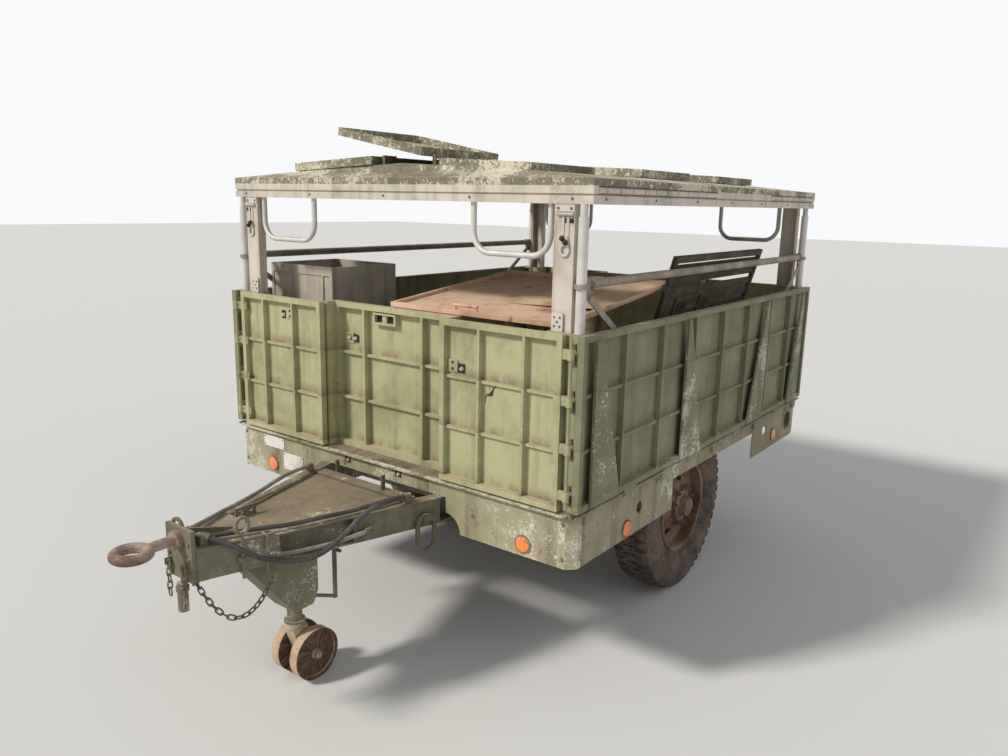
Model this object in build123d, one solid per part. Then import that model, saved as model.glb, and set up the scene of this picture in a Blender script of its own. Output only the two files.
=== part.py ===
from build123d import *
import os
from math import asin, atan2, cos, degrees, hypot, radians, sin, tan

# Field kitchen on a two-wheeled trailer. Millimetres, +X towards the towing eye, +Y the left side, +Z up.
# Offsets along X are written from the front face of the body, so they are negative inside the body.

# Body
BODY_LENGTH = 3000.0
TAIL = -BODY_LENGTH       # rear face of the body
BODY_HALF = 1200.0        # centre plane to the outer face of a side platform
SKIRT_Z = 690.0           # lower edge of the skirts
DECK_Z = 950.0            # top of the floor
WALL_Z = 1735.0           # top of doors, centre panels and platforms
FLOOR_HALF = BODY_HALF - 40.0
SKIRT_Y = BODY_HALF - 20.0
DECK_THICK = 25.0
BEAM_DEPTH = 65.0
SHEET = 5.0
GAP = 5.0                 # clearance round moving pieces
SEAT = 0.3                # clearance between fixed pieces with curved faces
PLAY = 0.1                # radial clearance of a pin in its knuckle

# Doors and centre panels
DOOR_INNER = 420.0        # centre plane to the free edge of a corner door
DOOR_OUTER = BODY_HALF - 100.0
DOOR_THICK = 34.0
CENTRE_RECESS = 100.0
CENTRE_THICK = 40.0
JAMB = 35.0
DOOR_RIBS = (0.34, 0.71)      # shares of the width, from the free edge to the hinge
CENTRE_RIBS = (0.26, 0.76)
HINGE_Y = BODY_HALF - 55.0
HINGE_ROD_R = 8.0
KNUCKLE_R = 15.0
KNUCKLE_LENGTH = 44.0
HINGE_HEIGHTS = (80.0, 290.0, 500.0, 700.0)

# Side platforms
PLATFORM_THICK = 35.0
PLATFORM_END = 14.0       # front of the body to the end of a platform
PLATFORM_ROD_R = 7.0
PLATFORM_AXIS_Z = DECK_Z - 10.0
PLATFORM_AXIS_Y = BODY_HALF - 10.0
BRACKET_THICK = 12.0
PLATFORM_RIBS = tuple(i / 8.0 for i in range(1, 8))

# Wheels and axle
AXLE_X = TAIL / 2.0 - 50.0
TYRE_R = 505.0
TYRE_WIDTH = 250.0
TYRE_OUTER_Y = BODY_HALF - 165.0
RIM_R = 262.0
SPINDLE_R = 30.0
SPINDLE_END = TYRE_OUTER_Y - 75.0
HUB_FACE = TYRE_OUTER_Y - 323.0   # inner face of the brake drum
AXLE_R = 52.0
SPRING_SEAT = 62.0
ARCH_FRONT = AXLE_X + 550.0
ARCH_REAR = AXLE_X - 600.0
ARCH_Z = 860.0
WELL_INNER = TYRE_OUTER_Y - TYRE_WIDTH - 60.0
WELL_TOP = 2.0 * TYRE_R + 80.0

# Chassis and drawbar
RAIL_TOP = 860.0
RAIL_DEPTH = 130.0
RAIL_OUTER = 430.0
RAIL_FLANGE = 60.0
RAIL_WEB = 8.0
NOSE_X = 1060.0           # front of the body to the front end of the drawbar rails
NOSE_OUTER = 105.0
BOXING = 6.0
DECK_FRONT = 180.0        # rear edge of the plate between the drawbar rails
REAR_BOXING = 440.0       # front end of the plate over the rear of a drawbar rail
NOSE_BOXING = 770.0
LUNETTE_X = 1318.0
LUNETTE_Z = 900.0
LUNETTE_R = 63.0
LUNETTE_BAR_R = 22.0
LUNETTE_BORE_R = 43.0

# Landing leg
LEG_X = 555.0
LEG_PIVOT_Z = 420.0
LEG_PIN_R = 12.0
BRACKET_HALF = 75.0       # outer faces of the wedge that carries the leg
BRACKET_SHEET = 8.0
CASTER_TRAIL = 55.0
CASTER_R = 127.0
CASTER_WIDTH = 50.0
CASTER_GAP = 84.0         # between the two discs
COLUMN_R = 36.0
KING_PIN_R = 20.0
CASTER_AXLE_R = 13.0
COLUMN_FOOT = 296.0
COLUMN_TOP = 400.0

# Roof
ROOF_Z = 2266.0           # underside of the roof rails, roof lowered
ROOF_INSET = 60.0         # front face of the body to the front face of the roof rails
ROOF_HALF = BODY_HALF - 15.0
RAIL_HEIGHT = 74.0
RAIL_THICK = 45.0
EAVE_EDGE = 30.0
DECK_RISE = 36.0
RIDGE_RISE = 40.0
HIP = 365.0
HIP_END = 120.0
ROOF_SKIN = 8.0
ROOF_LIFT = 620.0

# Roof hatches
HATCH = 600.0
HATCH_INNER = 200.0
HATCH_DEPTH = 42.0
HATCH_WALL = 4.0
CURB = 520.0
CURB_WALL = 12.0
HATCH_STATIONS = (-480.0, TAIL / 2.0 + 20.0, TAIL + 520.0)
OPEN_HATCH_ANGLE = 172.0
HATCH_AXIS_Y = -30.0      # inner edge of a lid to its hinge line
HATCH_AXIS_Z = 36.0
HATCH_PIN_R = 5.0
HATCH_HINGES = (-200.0, 200.0)

# Posts
POST_WIDTH = 100.0
POST_DEPTH = 50.0
POST_WALL = 6.0
POST_INNER_Y = BODY_HALF - 202.0
POST_FRONT = -65.0
TUBE_R = 22.0
TUBE_BORE = 17.0
TUBE_TOP = 2215.0
TUBE_BOTTOM = 960.0
LIFT_ROD_R = TUBE_BORE - PLAY
TUBE_Y = BODY_HALF - 63.0
TUBE_X = -73.0
GUARD_R = 20.0
GUARD_Z = 1940.0
GUARD_END = -150.0

LUNETTE_TIP = LUNETTE_X + LUNETTE_R + LUNETTE_BAR_R
REAR_TIP = KNUCKLE_R
FRONT = (BODY_LENGTH + REAR_TIP - LUNETTE_TIP) / 2.0   # the box of the whole trailer is centred on X = 0
REAR = FRONT - BODY_LENGTH
MIDDLE = (FRONT + REAR) / 2.0


def block(x0, x1, y0, y1, z0, z1):
    """A box between two corners, with X measured from the front face of the body."""
    size = (abs(x1 - x0), abs(y1 - y0), abs(z1 - z0))
    centre = (FRONT + (x0 + x1) / 2.0, (y0 + y1) / 2.0, (z0 + z1) / 2.0)
    return Pos(*centre) * Box(*size)


def rod(start, end, radius):
    """A round bar between two points, with X measured from the front face of the body."""
    a = Vector(FRONT + start[0], start[1], start[2])
    b = Vector(FRONT + end[0], end[1], end[2])
    plane = Plane(origin=a, z_dir=b - a)
    return extrude(plane * Circle(radius), amount=(b - a).length)


def flat_bar(start, end, width, thick):
    """A bar of rectangular section between two points in a plane of constant Y, thick along Y."""
    a = Vector(FRONT + start[0], start[1], start[2])
    b = Vector(FRONT + end[0], end[1], end[2])
    plane = Plane(origin=a, x_dir=(0, 1, 0), z_dir=b - a)
    return extrude(plane * Rectangle(thick, width), amount=(b - a).length)


def plate(points, z0, z1):
    """A flat plate from an outline of (x, y) points in plan."""
    outline = [(FRONT + x, y) for x, y in points]
    face = make_face(Polyline(*outline, close=True))
    return Pos(0, 0, z0) * extrude(face, amount=z1 - z0)


def side_plate(points, y0, y1):
    """A plate standing in the XZ plane, from an outline of (x, z) points."""
    outline = [(FRONT + x, z) for x, z in points]
    plane = Plane(origin=(0, y0, 0), x_dir=(1, 0, 0), z_dir=(0, -1, 0))
    face = plane * make_face(Polyline(*outline, close=True))
    return extrude(face, amount=-(y1 - y0))


def bend_strip(points, near, far, z0, z1):
    """A strip in plan that follows a bent line between two offsets from it, mitred at the bends."""
    def offset(distance):
        moved = []
        for i, (x, y) in enumerate(points):
            before = points[max(i - 1, 0)]
            after = points[min(i + 1, len(points) - 1)]
            ways = [(x - before[0], y - before[1]), (after[0] - x, after[1] - y)]
            turns = [atan2(dy, dx) for dx, dy in ways if hypot(dx, dy) > 0]
            middle = sum(turns) / len(turns)
            reach = distance / cos((turns[-1] - turns[0]) / 2.0)
            moved.append((x - reach * sin(middle), y + reach * cos(middle)))
        return moved
    return plate(offset(near) + offset(far)[::-1], z0, z1)


def left_right(part):
    """A piece on the left side and its mirror image on the right."""
    return Compound(children=[part, part.mirror(Plane.XZ)])


def to_right(part):
    return part.mirror(Plane.XZ)


def to_rear(part):
    """The mirror image of a front piece at the rear of the body."""
    return part.mirror(Plane(origin=(MIDDLE, 0, 0), z_dir=(1, 0, 0)))


def four_corners(part):
    both = [part, to_right(part)]
    return both + [to_rear(piece) for piece in both]


def group(parts):
    """Several solids that stay apart, kept as one piece."""
    return Compound(children=[solid for part in parts for solid in part.solids()])


def ribbed_panel(width, height, thick, ribs, rows=3, rim=28.0, rib=14.0, skin=4.0, low=14.0):
    """A pressed panel, outer face at X = 0: upright ribs at shares of its width, and lower cross ribs."""
    body = Pos(-thick / 2.0, width / 2.0, height / 2.0) * Box(thick, width, height)
    edges = [rim] + [width * share for share in ribs] + [width - rim]
    cell_h = (height - 2.0 * rim - (rows - 1) * rib) / rows
    for i, (start, end) in enumerate(zip(edges, edges[1:])):
        y0 = start if i == 0 else start + rib / 2.0
        y1 = end if i == len(ribs) else end - rib / 2.0
        middle, wide = (y0 + y1) / 2.0, y1 - y0
        body -= Pos(-low / 2.0, middle, height / 2.0) * Box(low, wide, height - 2.0 * rim)
        for row in range(rows):
            z = rim + row * (cell_h + rib) + cell_h / 2.0
            depth = thick - skin
            body -= Pos(-depth / 2.0, middle, z) * Box(depth, wide, cell_h)
    return body


# Chassis


def rail_line(x):
    """Distance of a rail's outer edge from the centre plane."""
    return RAIL_OUTER - (RAIL_OUTER - NOSE_OUTER) * max(x, 0.0) / NOSE_X


def boxing(x0, x1):
    """A plate that closes the open side of the left drawbar rail between two places."""
    line = [(x0, rail_line(x0)), (x1, rail_line(x1))]
    return bend_strip(line, -BOXING, 0.0, RAIL_TOP - RAIL_DEPTH, RAIL_TOP)


def main_rails():
    """Two open channels, drawn together towards the towing eye and boxed in at both ends of the drawbar."""
    line = [(-BODY_LENGTH + 40.0, RAIL_OUTER), (0.0, RAIL_OUTER), (NOSE_X, NOSE_OUTER)]
    bottom = RAIL_TOP - RAIL_DEPTH
    web = bend_strip(line, -RAIL_FLANGE, -RAIL_FLANGE + RAIL_WEB, bottom, RAIL_TOP)
    top = bend_strip(line, -RAIL_FLANGE, 0.0, RAIL_TOP - RAIL_WEB, RAIL_TOP)
    low = bend_strip(line, -RAIL_FLANGE, 0.0, bottom, bottom + RAIL_WEB)
    return left_right((web + top + low + boxing(2.0, REAR_BOXING) + boxing(NOSE_BOXING, NOSE_X)).solid())


def rail_inner(x):
    """Half the clear width between the rails at a place along the drawbar."""
    if x <= 0.0:
        return RAIL_OUTER - RAIL_FLANGE
    slope = (RAIL_OUTER - NOSE_OUTER) / NOSE_X
    return RAIL_OUTER - slope * x - RAIL_FLANGE / cos(atan2(RAIL_OUTER - NOSE_OUTER, NOSE_X))


def channel_beam(x, half, depth_z, top, width=70.0, wall=6.0):
    """A cross member of channel section, open to the rear."""
    outer = block(x - width / 2.0, x + width / 2.0, -half, half, top - depth_z, top)
    inner = block(x - width / 2.0, x + width / 2.0 - wall, -half, half, top - depth_z + wall, top - wall)
    return outer - inner


CROSSMEMBERS = (-230.0, ARCH_FRONT + 20.0, ARCH_REAR + 30.0, TAIL + 100.0)
SILLS = (-130.0, -500.0, ARCH_FRONT + 100.0, ARCH_REAR - 50.0, TAIL + 450.0, TAIL + 130.0)


def crossmembers():
    depth = RAIL_DEPTH - 20.0
    parts = [channel_beam(x, rail_inner(-1.0), depth, RAIL_TOP) for x in CROSSMEMBERS]
    front = channel_beam(DECK_FRONT - 80.0, rail_inner(DECK_FRONT - 45.0), depth, RAIL_TOP)
    return group(parts + [front])


def floor_beams():
    """Sills between the chassis rails and the floor, ahead of and behind the wheel wells."""
    return group([channel_beam(x, SKIRT_Y - 60.0, BEAM_DEPTH, DECK_Z - DECK_THICK) for x in SILLS])


TRAY_TOP = RAIL_TOP - 10.0
TRAY_LOW = TRAY_TOP - 10.0
WEDGE_NOSE = LEG_X + 315.0    # front, toe, heel and back of the wedge
WEDGE_TOE = LEG_X + 57.0
WEDGE_HEEL = LEG_X - 55.0
WEDGE_BACK = LEG_X - 85.0
WEDGE_BROW = LEG_PIVOT_Z + 285.0
WEDGE_FOOT = LEG_PIVOT_Z - 35.0
WEDGE_KNEE = LEG_PIVOT_Z + 30.0


def leg_bracket():
    """The plate between the drawbar rails and the wedge under it that carries the landing leg."""
    x0, x1 = DECK_FRONT - 40.0, WEDGE_NOSE + 10.0
    half0, half1 = rail_inner(x0), rail_inner(x1)
    tray = plate([(x0, -half0), (x1, -half1), (x1, half1), (x0, half0)], TRAY_LOW, TRAY_TOP)
    brow, foot = (WEDGE_NOSE, WEDGE_BROW), (WEDGE_TOE, WEDGE_FOOT)
    outline = [(WEDGE_BACK, TRAY_LOW), (WEDGE_NOSE, TRAY_LOW), brow, foot,
               (WEDGE_HEEL, WEDGE_FOOT), (WEDGE_BACK, WEDGE_KNEE)]
    cheek = side_plate(outline, BRACKET_HALF - BRACKET_SHEET, BRACKET_HALF)
    slope = atan2(brow[1] - foot[1], brow[0] - foot[0])
    dx, dz = BRACKET_SHEET * sin(slope), BRACKET_SHEET * cos(slope)
    behind = [(x - dx, z + dz) for x, z in (foot, brow)]
    shin = side_plate([brow, foot] + behind, -BRACKET_HALF, BRACKET_HALF)
    face = block(WEDGE_NOSE - BRACKET_SHEET, WEDGE_NOSE, -BRACKET_HALF, BRACKET_HALF, WEDGE_BROW, TRAY_LOW)
    reach = BRACKET_HALF + 12.0
    pin = rod((LEG_X, -reach, LEG_PIVOT_Z), (LEG_X, reach, LEG_PIVOT_Z), LEG_PIN_R)
    return (tray + cheek + cheek.mirror(Plane.XZ) + shin + face + pin).solid()


def drawbar_nose():
    """The plated nose: cheeks outside the rails, top and bottom plates and the plate behind the eye."""
    x0, x1 = 790.0, NOSE_X + 40.0
    bottom = RAIL_TOP - RAIL_DEPTH
    half0 = rail_inner(x0) + RAIL_FLANGE
    half1 = NOSE_OUTER - 10.0
    outline = [(x0, -half0), (x1, -half1), (x1, half1), (x0, half0)]
    top = plate(outline, RAIL_TOP + SEAT, RAIL_TOP + 10.0)
    front = block(x1, x1 + 20.0, -half1 + 5.0, half1 - 5.0, bottom - 5.0, LUNETTE_Z + 50.0)
    cheeks = [plate([(x1, side * (half1 - 12.0)), (x1, side * half1), (NOSE_X + SEAT, side * (half1 + 12.0)),
                     (NOSE_X + SEAT, side * (half1 - 6.0))], bottom, RAIL_TOP + 10.0) for side in (-1, 1)]
    web_line = [(x0 + 60.0, RAIL_TOP + 10.0), (x1, RAIL_TOP + 10.0), (x1, LUNETTE_Z + 40.0)]
    web = side_plate(web_line, -8.0, 8.0)
    return (top + front + cheeks[0] + cheeks[1] + web).solid()


def lunette():
    """The towing eye: a round ring, worn flat inside, on a shank through the nose plate."""
    ring = Pos(FRONT + LUNETTE_X, 0, LUNETTE_Z) * Torus(LUNETTE_R, LUNETTE_BAR_R)
    back = NOSE_X + 60.0
    shank = rod((back, 0, LUNETTE_Z), (LUNETTE_X - LUNETTE_R, 0, LUNETTE_Z), LUNETTE_BAR_R)
    collar = rod((back, 0, LUNETTE_Z), (back + 24.0, 0, LUNETTE_Z), LUNETTE_BAR_R + 16.0)
    eye = ring + shank + collar
    eye -= rod((LUNETTE_X, 0, LUNETTE_Z - 60.0), (LUNETTE_X, 0, LUNETTE_Z + 60.0), LUNETTE_BORE_R)
    return eye.solid()


def axle_beam():
    """The tubular axle with a stepped spindle at each end."""
    beam = rod((AXLE_X, -HUB_FACE + 12.0, TYRE_R), (AXLE_X, HUB_FACE - 12.0, TYRE_R), AXLE_R)
    spindle = rod((AXLE_X, -SPINDLE_END, TYRE_R), (AXLE_X, SPINDLE_END, TYRE_R), SPINDLE_R)
    inner = RAIL_OUTER - RAIL_FLANGE
    pad = block(AXLE_X - 60.0, AXLE_X + 60.0, inner, RAIL_OUTER, TYRE_R, TYRE_R + SPRING_SEAT)
    return (beam + spindle + pad + pad.mirror(Plane.XZ)).solid()


LEAVES = (560.0, 560.0, 420.0, 280.0, 140.0)   # half length of each leaf, top leaf first
LEAF_THICK = 10.0
LEAF_STEP = 70.0
LEAF_BOW = 50.0


def leaf_height(x):
    """Height of the top of the leaf pack at a distance from the axle."""
    return TYRE_R + SPRING_SEAT + LEAF_THICK * len(LEAVES) + LEAF_BOW * (x / LEAVES[0]) ** 2


def leaf(half, place):
    """One bowed leaf, by its half length and its place in the pack."""
    count = int(half / LEAF_STEP)
    stations = [LEAF_STEP * i for i in range(-count, count + 1)]
    drop = LEAF_THICK * place
    upper = [(AXLE_X + x, leaf_height(x) - drop) for x in stations]
    lower = [(x, z - LEAF_THICK) for x, z in reversed(upper)]
    return side_plate(upper + lower, RAIL_OUTER - RAIL_FLANGE, RAIL_OUTER)


def leaf_spring():
    """A stepped leaf pack bowed over the axle, with its two hangers under the rail."""
    pack = leaf(LEAVES[0], 0)
    for place, half in enumerate(LEAVES[1:], start=1):
        pack += leaf(half, place)
    for way in (-1.0, 1.0):
        x = AXLE_X + way * 530.0
        pack += block(x - 30.0, x + 30.0, RAIL_OUTER - RAIL_FLANGE, RAIL_OUTER, leaf_height(500.0) - 6.0,
                      RAIL_TOP - RAIL_DEPTH)
    return pack.solid()


def leaf_springs():
    return left_right(leaf_spring())


# Wheels


def about_axle(profile):
    """A left wheel piece turned about the axle from an outline of (radius, y) points."""
    face = make_face(Polyline(*[(y, r) for r, y in profile], close=True))
    solid = revolve(face, axis=Axis.X)
    return Pos(FRONT + AXLE_X, 0, TYRE_R) * (Rot(0, 0, 90) * solid)


def tyre():
    """A tall narrow tyre, hollow inside, with square shoulders."""
    tread, bead, half = TYRE_R, RIM_R + SEAT, TYRE_WIDTH / 2.0
    middle = (bead + tread) / 2.0
    outside = [(bead, half - 36.0), (bead + 22.0, half - 36.0), (bead + 34.0, half - 20.0), (middle, half),
               (tread - 34.0, half - 12.0), (tread - 8.0, half - 26.0), (tread, half - 50.0)]
    inside = [(tread - 22.0, half - 56.0), (tread - 40.0, half - 34.0), (middle, half - 22.0),
              (bead + 40.0, half - 42.0), (bead, half - 60.0)]
    y = TYRE_OUTER_Y - half
    left = [(radius, y + away) for radius, away in (outside[::-1] + inside[::-1])]
    right = [(radius, y - away) for radius, away in (inside + outside)]
    return about_axle(left + right)


HUB_SEAT_R = 95.0
HAND_HOLES = 5
HAND_HOLE_R = 27.0
HAND_HOLE_CIRCLE = 178.0
DRUM_R = 205.0


def wheel_disc():
    """The steel wheel: a rim with flanges and a dished disc with hand holes."""
    outer = TYRE_OUTER_Y - 36.0 + SEAT
    inner = TYRE_OUTER_Y - TYRE_WIDTH + 36.0 - SEAT
    disc = TYRE_OUTER_Y - 92.0
    well = RIM_R - 10.0
    flange = RIM_R + 16.0
    dish = RIM_R - 50.0
    profile = [(RIM_R, outer), (flange, outer), (flange, outer + 7.0), (well, outer + 7.0), (well, disc),
               (dish, disc + 4.0), (136.0, disc + 42.0), (HUB_SEAT_R, disc + 42.0),
               (HUB_SEAT_R, disc + 30.0), (130.0, disc + 30.0), (dish, disc - 8.0), (well, disc - 30.0),
               (well, inner - 7.0),
               (flange, inner - 7.0), (flange, inner), (RIM_R, inner)]
    body = about_axle(profile)
    for i in range(HAND_HOLES):
        turn = radians(90.0 + 360.0 * i / HAND_HOLES)
        x = AXLE_X + HAND_HOLE_CIRCLE * cos(turn)
        z = TYRE_R + HAND_HOLE_CIRCLE * sin(turn)
        body -= rod((x, disc - 80.0, z), (x, disc + 80.0, z), HAND_HOLE_R)
    return body.solid()


def wheel_hub():
    """The hub and brake drum that turn on the spindle."""
    disc = TYRE_OUTER_Y - 92.0
    bore = SPINDLE_R + PLAY
    drum_end = HUB_FACE + 134.0
    cap = SPINDLE_END + 10.0
    seat = HUB_SEAT_R - SEAT
    profile = [(bore, HUB_FACE), (DRUM_R, HUB_FACE), (DRUM_R, drum_end), (seat, drum_end + 6.0),
               (seat, disc + 56.0), (62.0, disc + 62.0), (56.0, disc + 98.0), (0.0, disc + 102.0),
               (0.0, cap), (bore, cap)]
    return about_axle(profile)


# Landing leg


def landing_leg():
    """The short column that swings back from the wedge, with the head for its pin."""
    half = BRACKET_HALF - BRACKET_SHEET - 9.0
    head = block(LEG_X - 30.0, LEG_X + 30.0, -half, half, LEG_PIVOT_Z - 28.0, LEG_PIVOT_Z + 26.0)
    column = rod((LEG_X, 0, COLUMN_FOOT), (LEG_X, 0, COLUMN_TOP), COLUMN_R)
    flange = rod((LEG_X, 0, COLUMN_FOOT), (LEG_X, 0, COLUMN_FOOT + 12.0), COLUMN_R + 14.0)
    leg = head + column + flange
    leg -= rod((LEG_X, -half - 1.0, LEG_PIVOT_Z), (LEG_X, half + 1.0, LEG_PIVOT_Z), LEG_PIN_R + PLAY)
    leg -= rod((LEG_X, 0, COLUMN_FOOT - 1.0), (LEG_X, 0, COLUMN_TOP - 16.0), KING_PIN_R + PLAY)
    return (leg + release_bar()).solid()


def release_bar():
    """The bent rod and upright handle behind the leg that let it go."""
    z = LEG_PIVOT_Z - 4.0
    rear = LEG_X - 250.0
    link = rod((LEG_X - 30.0, 0, z), (rear, 0, z - 92.0), 9.0)
    handle = block(rear - 12.0, rear + 6.0, -7.0, 7.0, z - 102.0, z + 165.0)
    grip = rod((rear - 3.0, -45.0, z + 160.0), (rear - 3.0, 45.0, z + 160.0), 9.0)
    return link + handle + grip


def caster_fork():
    """The swivel: a king pin in the column, a plate and a block that holds the caster axle."""
    x = LEG_X - CASTER_TRAIL
    plate_low = COLUMN_FOOT - 24.0
    pin = rod((LEG_X, 0, plate_low), (LEG_X, 0, COLUMN_TOP - 22.0), KING_PIN_R)
    cap = rod((LEG_X, 0, plate_low), (LEG_X, 0, COLUMN_FOOT - SEAT), COLUMN_R + 14.0)
    half = CASTER_GAP / 2.0 - 7.0
    head = plate_low + 4.0
    outline = [(LEG_X + 40.0, head), (LEG_X - 45.0, head), (x - 40.0, CASTER_R + 30.0),
               (x - 34.0, CASTER_R - 36.0), (x + 34.0, CASTER_R - 36.0), (x + 60.0, CASTER_R + 40.0)]
    body = pin + cap + side_plate(outline, -half, half)
    body -= rod((x, -60.0, CASTER_R), (x, 60.0, CASTER_R), CASTER_AXLE_R + PLAY)
    return body.solid()


def caster_wheels():
    """Twin steel discs on one axle."""
    x = LEG_X - CASTER_TRAIL
    y0 = CASTER_GAP / 2.0
    y1 = y0 + CASTER_WIDTH
    disc = rod((x, y0, CASTER_R), (x, y1, CASTER_R), CASTER_R)
    dish = rod((x, y1 - 12.0, CASTER_R), (x, y1, CASTER_R), CASTER_R - 18.0)
    hub = rod((x, y1 - 14.0, CASTER_R), (x, y1 + 8.0, CASTER_R), 26.0)
    wheel = disc - dish + hub
    axle = rod((x, -y1, CASTER_R), (x, y1, CASTER_R), CASTER_AXLE_R)
    return (wheel + wheel.mirror(Plane.XZ) + axle).solid()


# Floor, skirts and walls


def floor_deck():
    edge = SKIRT_FACE - SHEET
    deck = block(edge, -BODY_LENGTH - edge, -FLOOR_HALF, FLOOR_HALF, DECK_Z - DECK_THICK, DECK_Z)
    for side in (-1.0, 1.0):
        deck -= block(ARCH_FRONT + 40.0, ARCH_REAR - 40.0, side * WELL_INNER, side * BODY_HALF, 0.0, 2000.0)
    return deck.solid()


def wheel_well():
    """The box over a wheel, open below."""
    x0, x1 = ARCH_FRONT + 40.0, ARCH_REAR - 40.0
    y1 = FLOOR_HALF
    outer = block(x0, x1, WELL_INNER, y1, DECK_Z - DECK_THICK, WELL_TOP)
    inner = block(x0 - SHEET, x1 + SHEET, WELL_INNER + SHEET, y1 - SHEET, 0.0, WELL_TOP - SHEET)
    return outer - inner


def wheel_wells():
    return left_right(wheel_well())


SKIRT_FACE = -20.0        # front face of the body to the face of the front skirt
CHAMFER = 40.0
SKIRT_NOTCH_R = 92.0
LEDGE_Z = DECK_Z - 8.0


def skirt_front():
    """The front skirt: two deep corner plates, a shallow middle band and a ledge under the doors."""
    top = DECK_Z - DECK_THICK
    inner = RAIL_OUTER + 18.0
    corner_y = SKIRT_Y - CHAMFER
    line = [(SKIRT_FACE, inner), (SKIRT_FACE, corner_y), (SKIRT_FACE - CHAMFER, SKIRT_Y),
            (SKIRT_FACE - CHAMFER - 30.0, SKIRT_Y)]
    corner = bend_strip(line, 0.0, SHEET, SKIRT_Z, top)
    corner -= rod((SKIRT_FACE - 50.0, inner, SKIRT_Z), (SKIRT_FACE + 50.0, inner, SKIRT_Z), SKIRT_NOTCH_R)
    flange = block(SKIRT_FACE, SKIRT_FACE - 70.0, inner, corner_y, top - SHEET, top)
    middle = block(SKIRT_FACE, SKIRT_FACE - SHEET, 0.0, inner + 1.0, DECK_Z - 130.0 + 40.0, top)
    ledge = block(SKIRT_FACE - 1.0, 6.0, 0.0, corner_y, LEDGE_Z - 6.0, LEDGE_Z)
    web = block(SKIRT_FACE, SKIRT_FACE - SHEET, 0.0, corner_y, top - 10.0, LEDGE_Z)
    half = corner + flange + middle + ledge + web
    return (half + half.mirror(Plane.XZ)).solid()


def skirt_rear():
    return to_rear(skirt_front())


PLATES = ((-956.0, -777.0, 849.0, 915.0), (-786.0, -615.0, 741.0, 837.0))   # right, left, low and high edges


def end_skirts():
    front = skirt_front()
    for y0, y1, z0, z1 in PLATES:
        front += block(SKIRT_FACE, SKIRT_FACE + 2.0, y0, y1, z0, z1)
    return group([front.solid(), skirt_rear()])


PLATFORM_LUGS = (-120.0, -860.0, TAIL / 2.0, TAIL + 860.0, TAIL + 120.0)
LUG = 60.0
# Holes in the side skirts: X, Z and radius
SKIRT_HOLES = ((-630.0, 812.0, 30.0), (TAIL + 640.0, 835.0, 34.0), (TAIL + 180.0, 808.0, 64.0))


def skirt_left():
    """The side skirt, cut away over the wheel, with its holes and the hinge rod of the platform."""
    x0 = SKIRT_FACE - CHAMFER - 30.0
    x1 = -BODY_LENGTH - x0
    top = DECK_Z - DECK_THICK
    skin = side_plate([(x0, SKIRT_Z), (ARCH_FRONT, SKIRT_Z), (ARCH_FRONT, ARCH_Z), (ARCH_REAR, ARCH_Z),
                       (ARCH_REAR, SKIRT_Z), (x1, SKIRT_Z), (x1, top), (x0, top)], SKIRT_Y - SHEET, SKIRT_Y)
    for x, z, radius in SKIRT_HOLES:
        skin -= rod((x, SKIRT_Y - 50.0, z), (x, SKIRT_Y + 50.0, z), radius)
    flanges = [block(x0, ARCH_FRONT + 30.0, SKIRT_Y - 60.0, SKIRT_Y, top - SHEET, top),
               block(ARCH_REAR - 30.0, x1, SKIRT_Y - 60.0, SKIRT_Y, top - SHEET, top)]
    body = skin + flanges[0] + flanges[1]
    hinge = rod((-PLATFORM_END, PLATFORM_AXIS_Y, PLATFORM_AXIS_Z),
                (-BODY_LENGTH + PLATFORM_END, PLATFORM_AXIS_Y, PLATFORM_AXIS_Z), PLATFORM_ROD_R)
    for x in PLATFORM_LUGS:
        x0, x1 = x - LUG / 2.0, x + LUG / 2.0
        body += block(x0, x1, SKIRT_Y - SHEET, PLATFORM_AXIS_Y + 8.0, top - 30.0, PLATFORM_AXIS_Z + 9.0)
    return (body + hinge).solid()


def side_skirts():
    return left_right(skirt_left())


def centre_panel():
    """The recessed panel between the front doors, with a jamb behind each door edge."""
    half = DOOR_INNER - 10.0
    panel = ribbed_panel(2.0 * half, WALL_Z - DECK_Z, CENTRE_THICK, CENTRE_RIBS)
    panel = Pos(FRONT - CENTRE_RECESS, -half, DECK_Z) * panel
    back = -CENTRE_RECESS - CENTRE_THICK
    jamb = block(back, -DOOR_THICK - 2.0 * GAP, half, half + JAMB, DECK_Z, WALL_Z)
    return (panel + jamb + jamb.mirror(Plane.XZ) + paddle_latch(back + 4.0) + keeper(back + 4.0)).solid()


PADDLE_Y = -50.0
PADDLE_WIDTH = 160.0
PADDLE_HEIGHT = 60.0
KEEPER_Y = -330.0
KEEPER = 60.0


def paddle_latch(back):
    """The framed recess with a paddle at the top of the centre panel, standing on the sheet."""
    y0, y1 = PADDLE_Y - PADDLE_WIDTH / 2.0, PADDLE_Y + PADDLE_WIDTH / 2.0
    z0, z1 = WALL_Z - 35.0 - PADDLE_HEIGHT, WALL_Z - 35.0
    frame = block(back, back + 30.0, y0, y1, z0, z1)
    frame -= block(back + 6.0, back + 40.0, y0 + 12.0, y1 - 12.0, z0 + 10.0, z1 - 10.0)
    return frame + block(back + 6.0, back + 22.0, PADDLE_Y - 20.0, PADDLE_Y + 10.0, z0 + 10.0, z1 - 10.0)


def keeper(back):
    """The square plate with a hole beside the left edge of the centre panel."""
    y0, z0 = KEEPER_Y - KEEPER / 2.0, WALL_Z - 220.0
    square = block(back, back + 6.0, y0, y0 + KEEPER, z0, z0 + KEEPER)
    return square - block(back - 1.0, back + 7.0, y0 + 15.0, y0 + 45.0, z0 + 15.0, z0 + 45.0)


LATCH = 60.0
LATCH_LOW = (62.0, 217.0)     # free edge of a door and top of the wall to the middle of a latch plate
LATCH_HIGH = (275.0, 90.0)


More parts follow.
